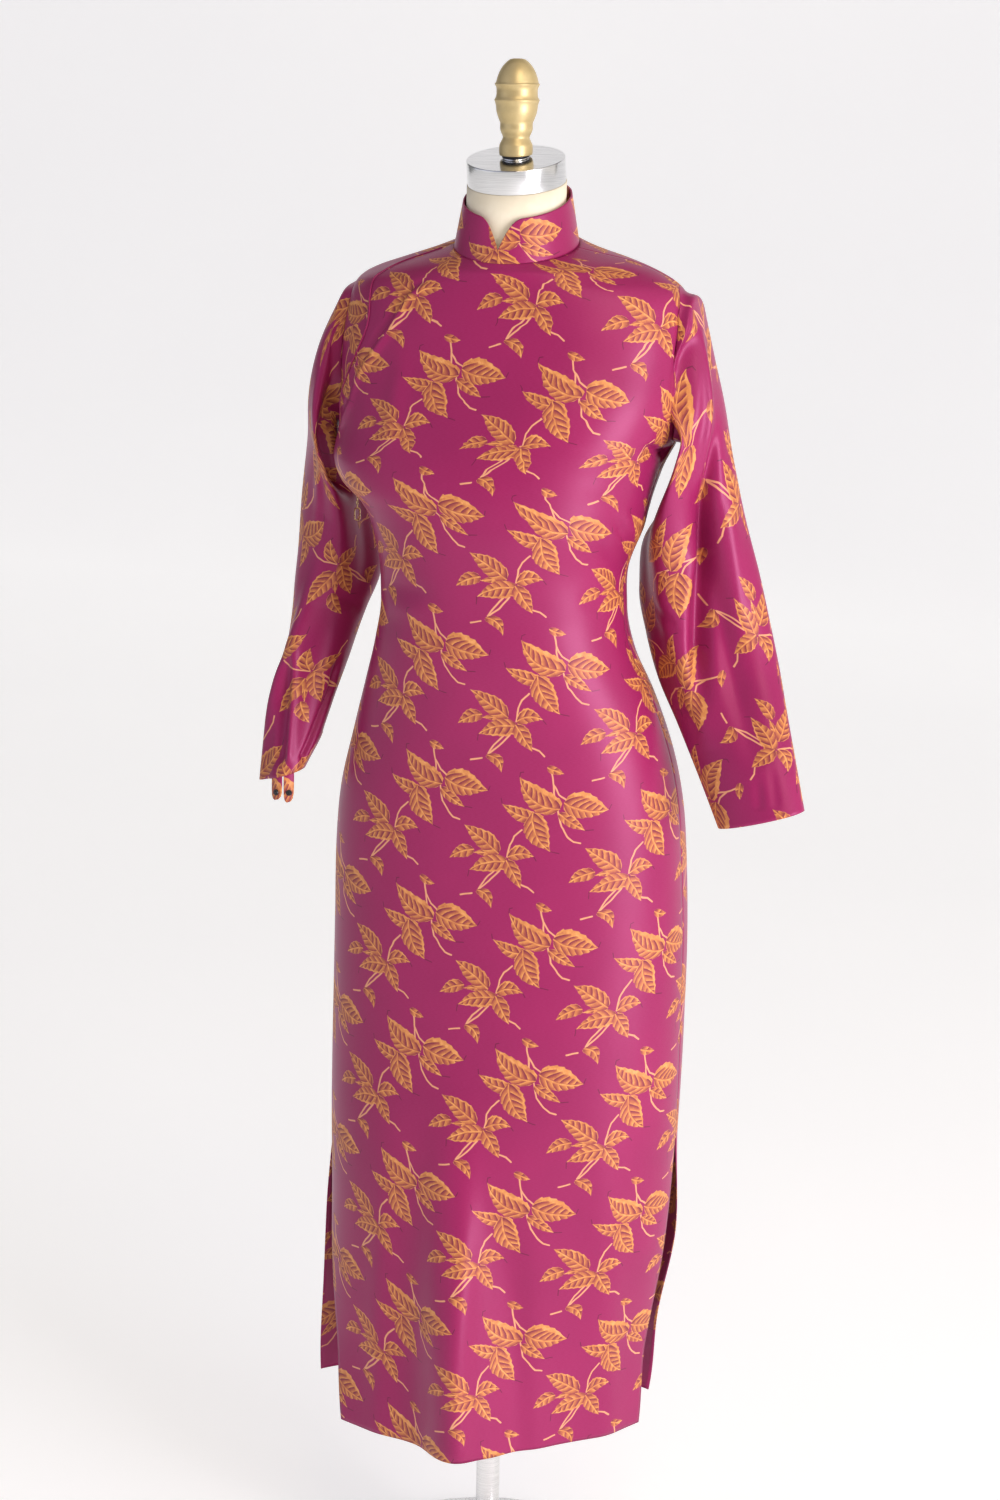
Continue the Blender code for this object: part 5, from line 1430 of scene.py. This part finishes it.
def build_edge_roll(front_grid):
    """A narrow roll along the front's free edge, from the collar down to the underarm."""
    heights = body_heights()
    chosen = (heights > EDGE_ROLL_HEIGHTS[0]) & (heights < EDGE_ROLL_HEIGHTS[1])
    edge = front_grid[chosen, 0]
    outwards = grid_normals(front_grid, False, False)[chosen, 0]
    along = np.gradient(edge, axis=0)
    beside = np.cross(outwards, along)
    beside /= np.linalg.norm(beside, axis=1, keepdims=True)
    turn = full_turn(EDGE_ROLL_SIDES)[None, :, None]
    around = np.cos(turn) * beside[:, None] + np.sin(turn) * outwards[:, None]
    return turned_solid("opening_edge_roll", edge[:, None] + EDGE_ROLL_RADIUS * around)


def plain_satin_material():
    """The brocade's ground where it is too narrow to show the pattern."""
    material, tree, shader = material_tree("plain_satin")
    place = place_of(tree)
    colour = mix_of(tree, noise_of(tree, place, 60.0, 2.0), SATIN_SHADE, SATIN_COLOUR)
    weave = noise_of(tree, place, 2500.0)
    settle(tree, shader, colour, 0.36, normal=bump_of(tree, weave, 0.00008, 0.5))
    shader.inputs["Specular IOR Level"].default_value = SATIN_SPECULAR
    shader.inputs["Specular Tint"].default_value = SATIN_TINT
    return material


def camera_axes():
    """Forward, rightward and upward directions of the camera, with the photograph's slight roll."""
    azimuth = math.radians(CAMERA_AZIMUTH)
    level = Vector((-math.sin(azimuth), math.cos(azimuth), 0.0))
    beside = Vector((math.cos(azimuth), math.sin(azimuth), 0.0))
    yaw = math.atan(CAMERA_YAW_PIXELS / CAMERA_FOCAL_PIXELS)
    level = level * math.cos(yaw) - beside * math.sin(yaw)
    pitch = math.radians(CAMERA_PITCH)
    forward = level * math.cos(pitch) - Vector((0.0, 0.0, math.sin(pitch)))
    right = forward.cross(Vector((0.0, 0.0, 1.0))).normalized()
    up = right.cross(forward)
    roll = math.radians(CAMERA_ROLL)
    cosine, sine = math.cos(roll), math.sin(roll)
    return forward, right * cosine + up * sine, up * cosine - right * sine


CAMERA_AZIMUTH = 18.0
CAMERA_DISTANCE = 3.2
CAMERA_HEIGHT = 1.71
CAMERA_PITCH = 13.4
CAMERA_ROLL = 1.2
CAMERA_FOCAL_PIXELS = 3138.0
CAMERA_YAW_PIXELS = 3.3
PICTURE_HEIGHT = 1500.0
SENSOR = 36.0


def add_camera():
    data = bpy.data.cameras.new("camera")
    data.sensor_fit = "AUTO"
    data.sensor_width = SENSOR
    data.lens = CAMERA_FOCAL_PIXELS / PICTURE_HEIGHT * SENSOR
    data.dof.use_dof = False
    azimuth = math.radians(CAMERA_AZIMUTH)
    forward, right, up = camera_axes()
    turn = Matrix((right, up, -forward)).transposed()
    away = Vector((math.sin(azimuth), -math.cos(azimuth), 0.0))
    place = away * CAMERA_DISTANCE + Vector((0.0, 0.0, CAMERA_HEIGHT))
    camera = add_piece("camera", data)
    camera.matrix_world = Matrix.Translation(place) @ turn.to_4x4()
    bpy.context.scene.camera = camera


def add_light(name, place, target, size, power, colour):
    data = bpy.data.lights.new(name, "AREA")
    data.shape = "RECTANGLE"
    data.size, data.size_y = size
    data.energy = power
    data.color = colour
    light = add_piece(name, data)
    light.location = place
    light.rotation_euler = (Vector(target) - Vector(place)).to_track_quat("-Z", "Y").to_euler()


def build_backdrop():
    """Floor that curves up into a wall behind."""
    profile = [(-FLOOR_REACH, 0.0), (WALL_PLACE - WALL_CURVE, 0.0)]
    for step in range(1, WALL_CURVE_STEPS + 1):
        turn = math.radians(90.0 * step / WALL_CURVE_STEPS)
        behind, up = WALL_CURVE * (1.0 - math.sin(turn)), WALL_CURVE * (1.0 - math.cos(turn))
        profile.append((WALL_PLACE - behind, up))
    profile.append((WALL_PLACE, WALL_HEIGHT))
    points = [(x, y, z) for y, z in profile for x in (-FLOOR_HALF_WIDTH, FLOOR_HALF_WIDTH)]
    faces = [(2 * row, 2 * row + 1, 2 * row + 3, 2 * row + 2) for row in range(len(profile) - 1)]
    mesh = bpy.data.meshes.new("backdrop")
    mesh.from_pydata(points, [], faces)
    mesh.shade_smooth()
    material, tree, shader = material_tree("backdrop_paper")
    grain = noise_of(tree, place_of(tree), 0.7, 2.0)
    settle(tree, shader, ramp_of(tree, grain, BACKDROP_TONES), 0.9)
    shader.inputs["Emission Color"].default_value = BACKDROP_TINT
    shader.inputs["Emission Strength"].default_value = BACKDROP_GLOW
    mesh.materials.append(material)
    add_piece("backdrop", mesh)


# The room in front, as a share of a turn from the far left of the camera round to the far right:
# bright windows on both sides with a dimmer, warmer wall between them
ROOM = (
    (0.00, (0.42, 0.42, 0.42)),
    (0.185, (0.36, 0.36, 0.36)),
    (0.200, (0.80, 0.85, 1.08)),
    (0.405, (0.80, 0.85, 1.08)),
    (0.415, (0.20, 0.20, 0.24)),
    (0.463, (0.24, 0.21, 0.22)),
    (0.468, (0.45, 0.36, 0.31)),
    (0.583, (0.48, 0.39, 0.34)),
    (0.590, (1.65, 1.56, 1.48)),
    (0.780, (1.65, 1.56, 1.48)),
    (0.800, (0.36, 0.34, 0.31)),
    (1.00, (0.42, 0.42, 0.42)),
)
ROOM_STRENGTH = 0.52
# Each light's name, place, the place it points at, its size, power and colour
LIGHTS = (
    ("window", (2.9, -1.7, 1.25), (0.0, 0.0, 0.8), (1.6, 2.2), 104.0, (0.99, 0.96, 1.03)),
    ("overhead", (1.2, -1.8, 3.3), (0.0, 0.0, 1.2), (1.4, 1.4), 24.0, (1.0, 0.87, 0.68)),
    ("fill", (-3.0, -2.4, 1.8), (0.0, 0.0, 0.9), (2.0, 2.4), 6.0, (0.88, 0.90, 1.0)),
)
WALL_PLACE = 8.0
WALL_HEIGHT = 8.0
WALL_CURVE = 2.4
WALL_CURVE_STEPS = 24
FLOOR_REACH = 9.0
FLOOR_HALF_WIDTH = 10.0
BACKDROP_GLOW = 0.40
BACKDROP_TINT = (1.0, 0.985, 0.96, 1.0)
BACKDROP_TONES = ((0.3, (0.80, 0.80, 0.795)), (0.7, (0.83, 0.83, 0.82)))


def light_scene():
    bpy.context.scene.view_settings.view_transform = "Standard"
    world = bpy.data.worlds.new("studio")
    bpy.context.scene.world = world
    world.use_nodes = True
    tree = world.node_tree
    background = tree.nodes["Background"]
    direction = tree.nodes.new("ShaderNodeTexCoord").outputs["Generated"]
    share = turn_share(tree, direction)
    tree.links.new(ramp_of(tree, share, ROOM), background.inputs["Color"])
    background.inputs["Strength"].default_value = ROOM_STRENGTH
    for row in LIGHTS:
        add_light(*row)


# How the brocade lies on each piece: its turn in degrees and its shift in metres
CLOTH_LAY = {
    "front_panel": (0.0, (-0.1043, -0.2381)),
    "back_panel": (0.0, (0.030, -0.200)),
    "under_flap": (-30.0, (0.0, 0.0)),
    "left_sleeve": (91.5, (0.0499, -0.0404)),
    "right_sleeve": (-107.7, (0.0374, 0.0424)),
    "collar": (-7.6, (0.165, -0.0466)),
    "cuff_tab_outer": (90.0, (0.045, 0.004)),
    "cuff_tab_inner": (90.0, (0.048, 0.004)),
}

add_camera()
light_scene()
build_backdrop()

front, back, flap = build_body()
left_sleeve, right_sleeve = build_sleeves()
collar = build_collar()
tabs = build_tabs(cloth_grids["right_sleeve_cloth"][-1])
cloth = (front, back, flap, left_sleeve, right_sleeve, collar, *tabs)
for piece, (node, (turn, shift)) in zip(cloth, CLOTH_LAY.items()):
    piece.data.materials.append(satin_material(f"brocade_{node}", turn, shift))
    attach(piece, "dressed_form")
    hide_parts(node)

steel = steel_material("brushed_steel", (0.80, 0.80, 0.80), 0.16, True)
enamel = enamel_material()
form = build_form()
carried = (
    (form, "form_torso", "form_canvas", canvas_material()),
    (build_cap(), "neck_cap", "steel", steel),
    (build_finial(), "finial", "finial_paint", gold_paint_material()),
    (spacer("finial_spacer", WASHER_RADIUS, WASHER_SHARES), "finial_washer", "snap_metal", enamel),
)
for piece, node, slot, material in carried:
    piece.data.materials.append(material)
    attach(piece, "dressed_form")
    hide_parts(node)
plate_steel = steel_material("plate_steel", (0.76, 0.76, 0.76), 0.26, False)
for node, material in (("pole", steel), ("pole_socket", plate_steel), ("base_plate", plate_steel)):
    paint_node(node, material)
for node in ("cuff_snap_outer", "cuff_snap_inner"):
    paint_node(node, enamel)
zip_gold = zip_gold_material()
for node in ("zip_slider", "zip_pull"):
    paint_node(node, zip_gold)
edge_roll = build_edge_roll(cloth_grids["front_cloth"])
for piece, slot, material in ((edge_roll, "satin", plain_satin_material()),
                              (spacer("finial_boss", BOSS_RADIUS, BOSS_SHARES), "steel", steel),
                              (build_zip_teeth(), "zip_gold", zip_gold)):
    piece.data.materials.append(material)
    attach(piece, "dressed_form")
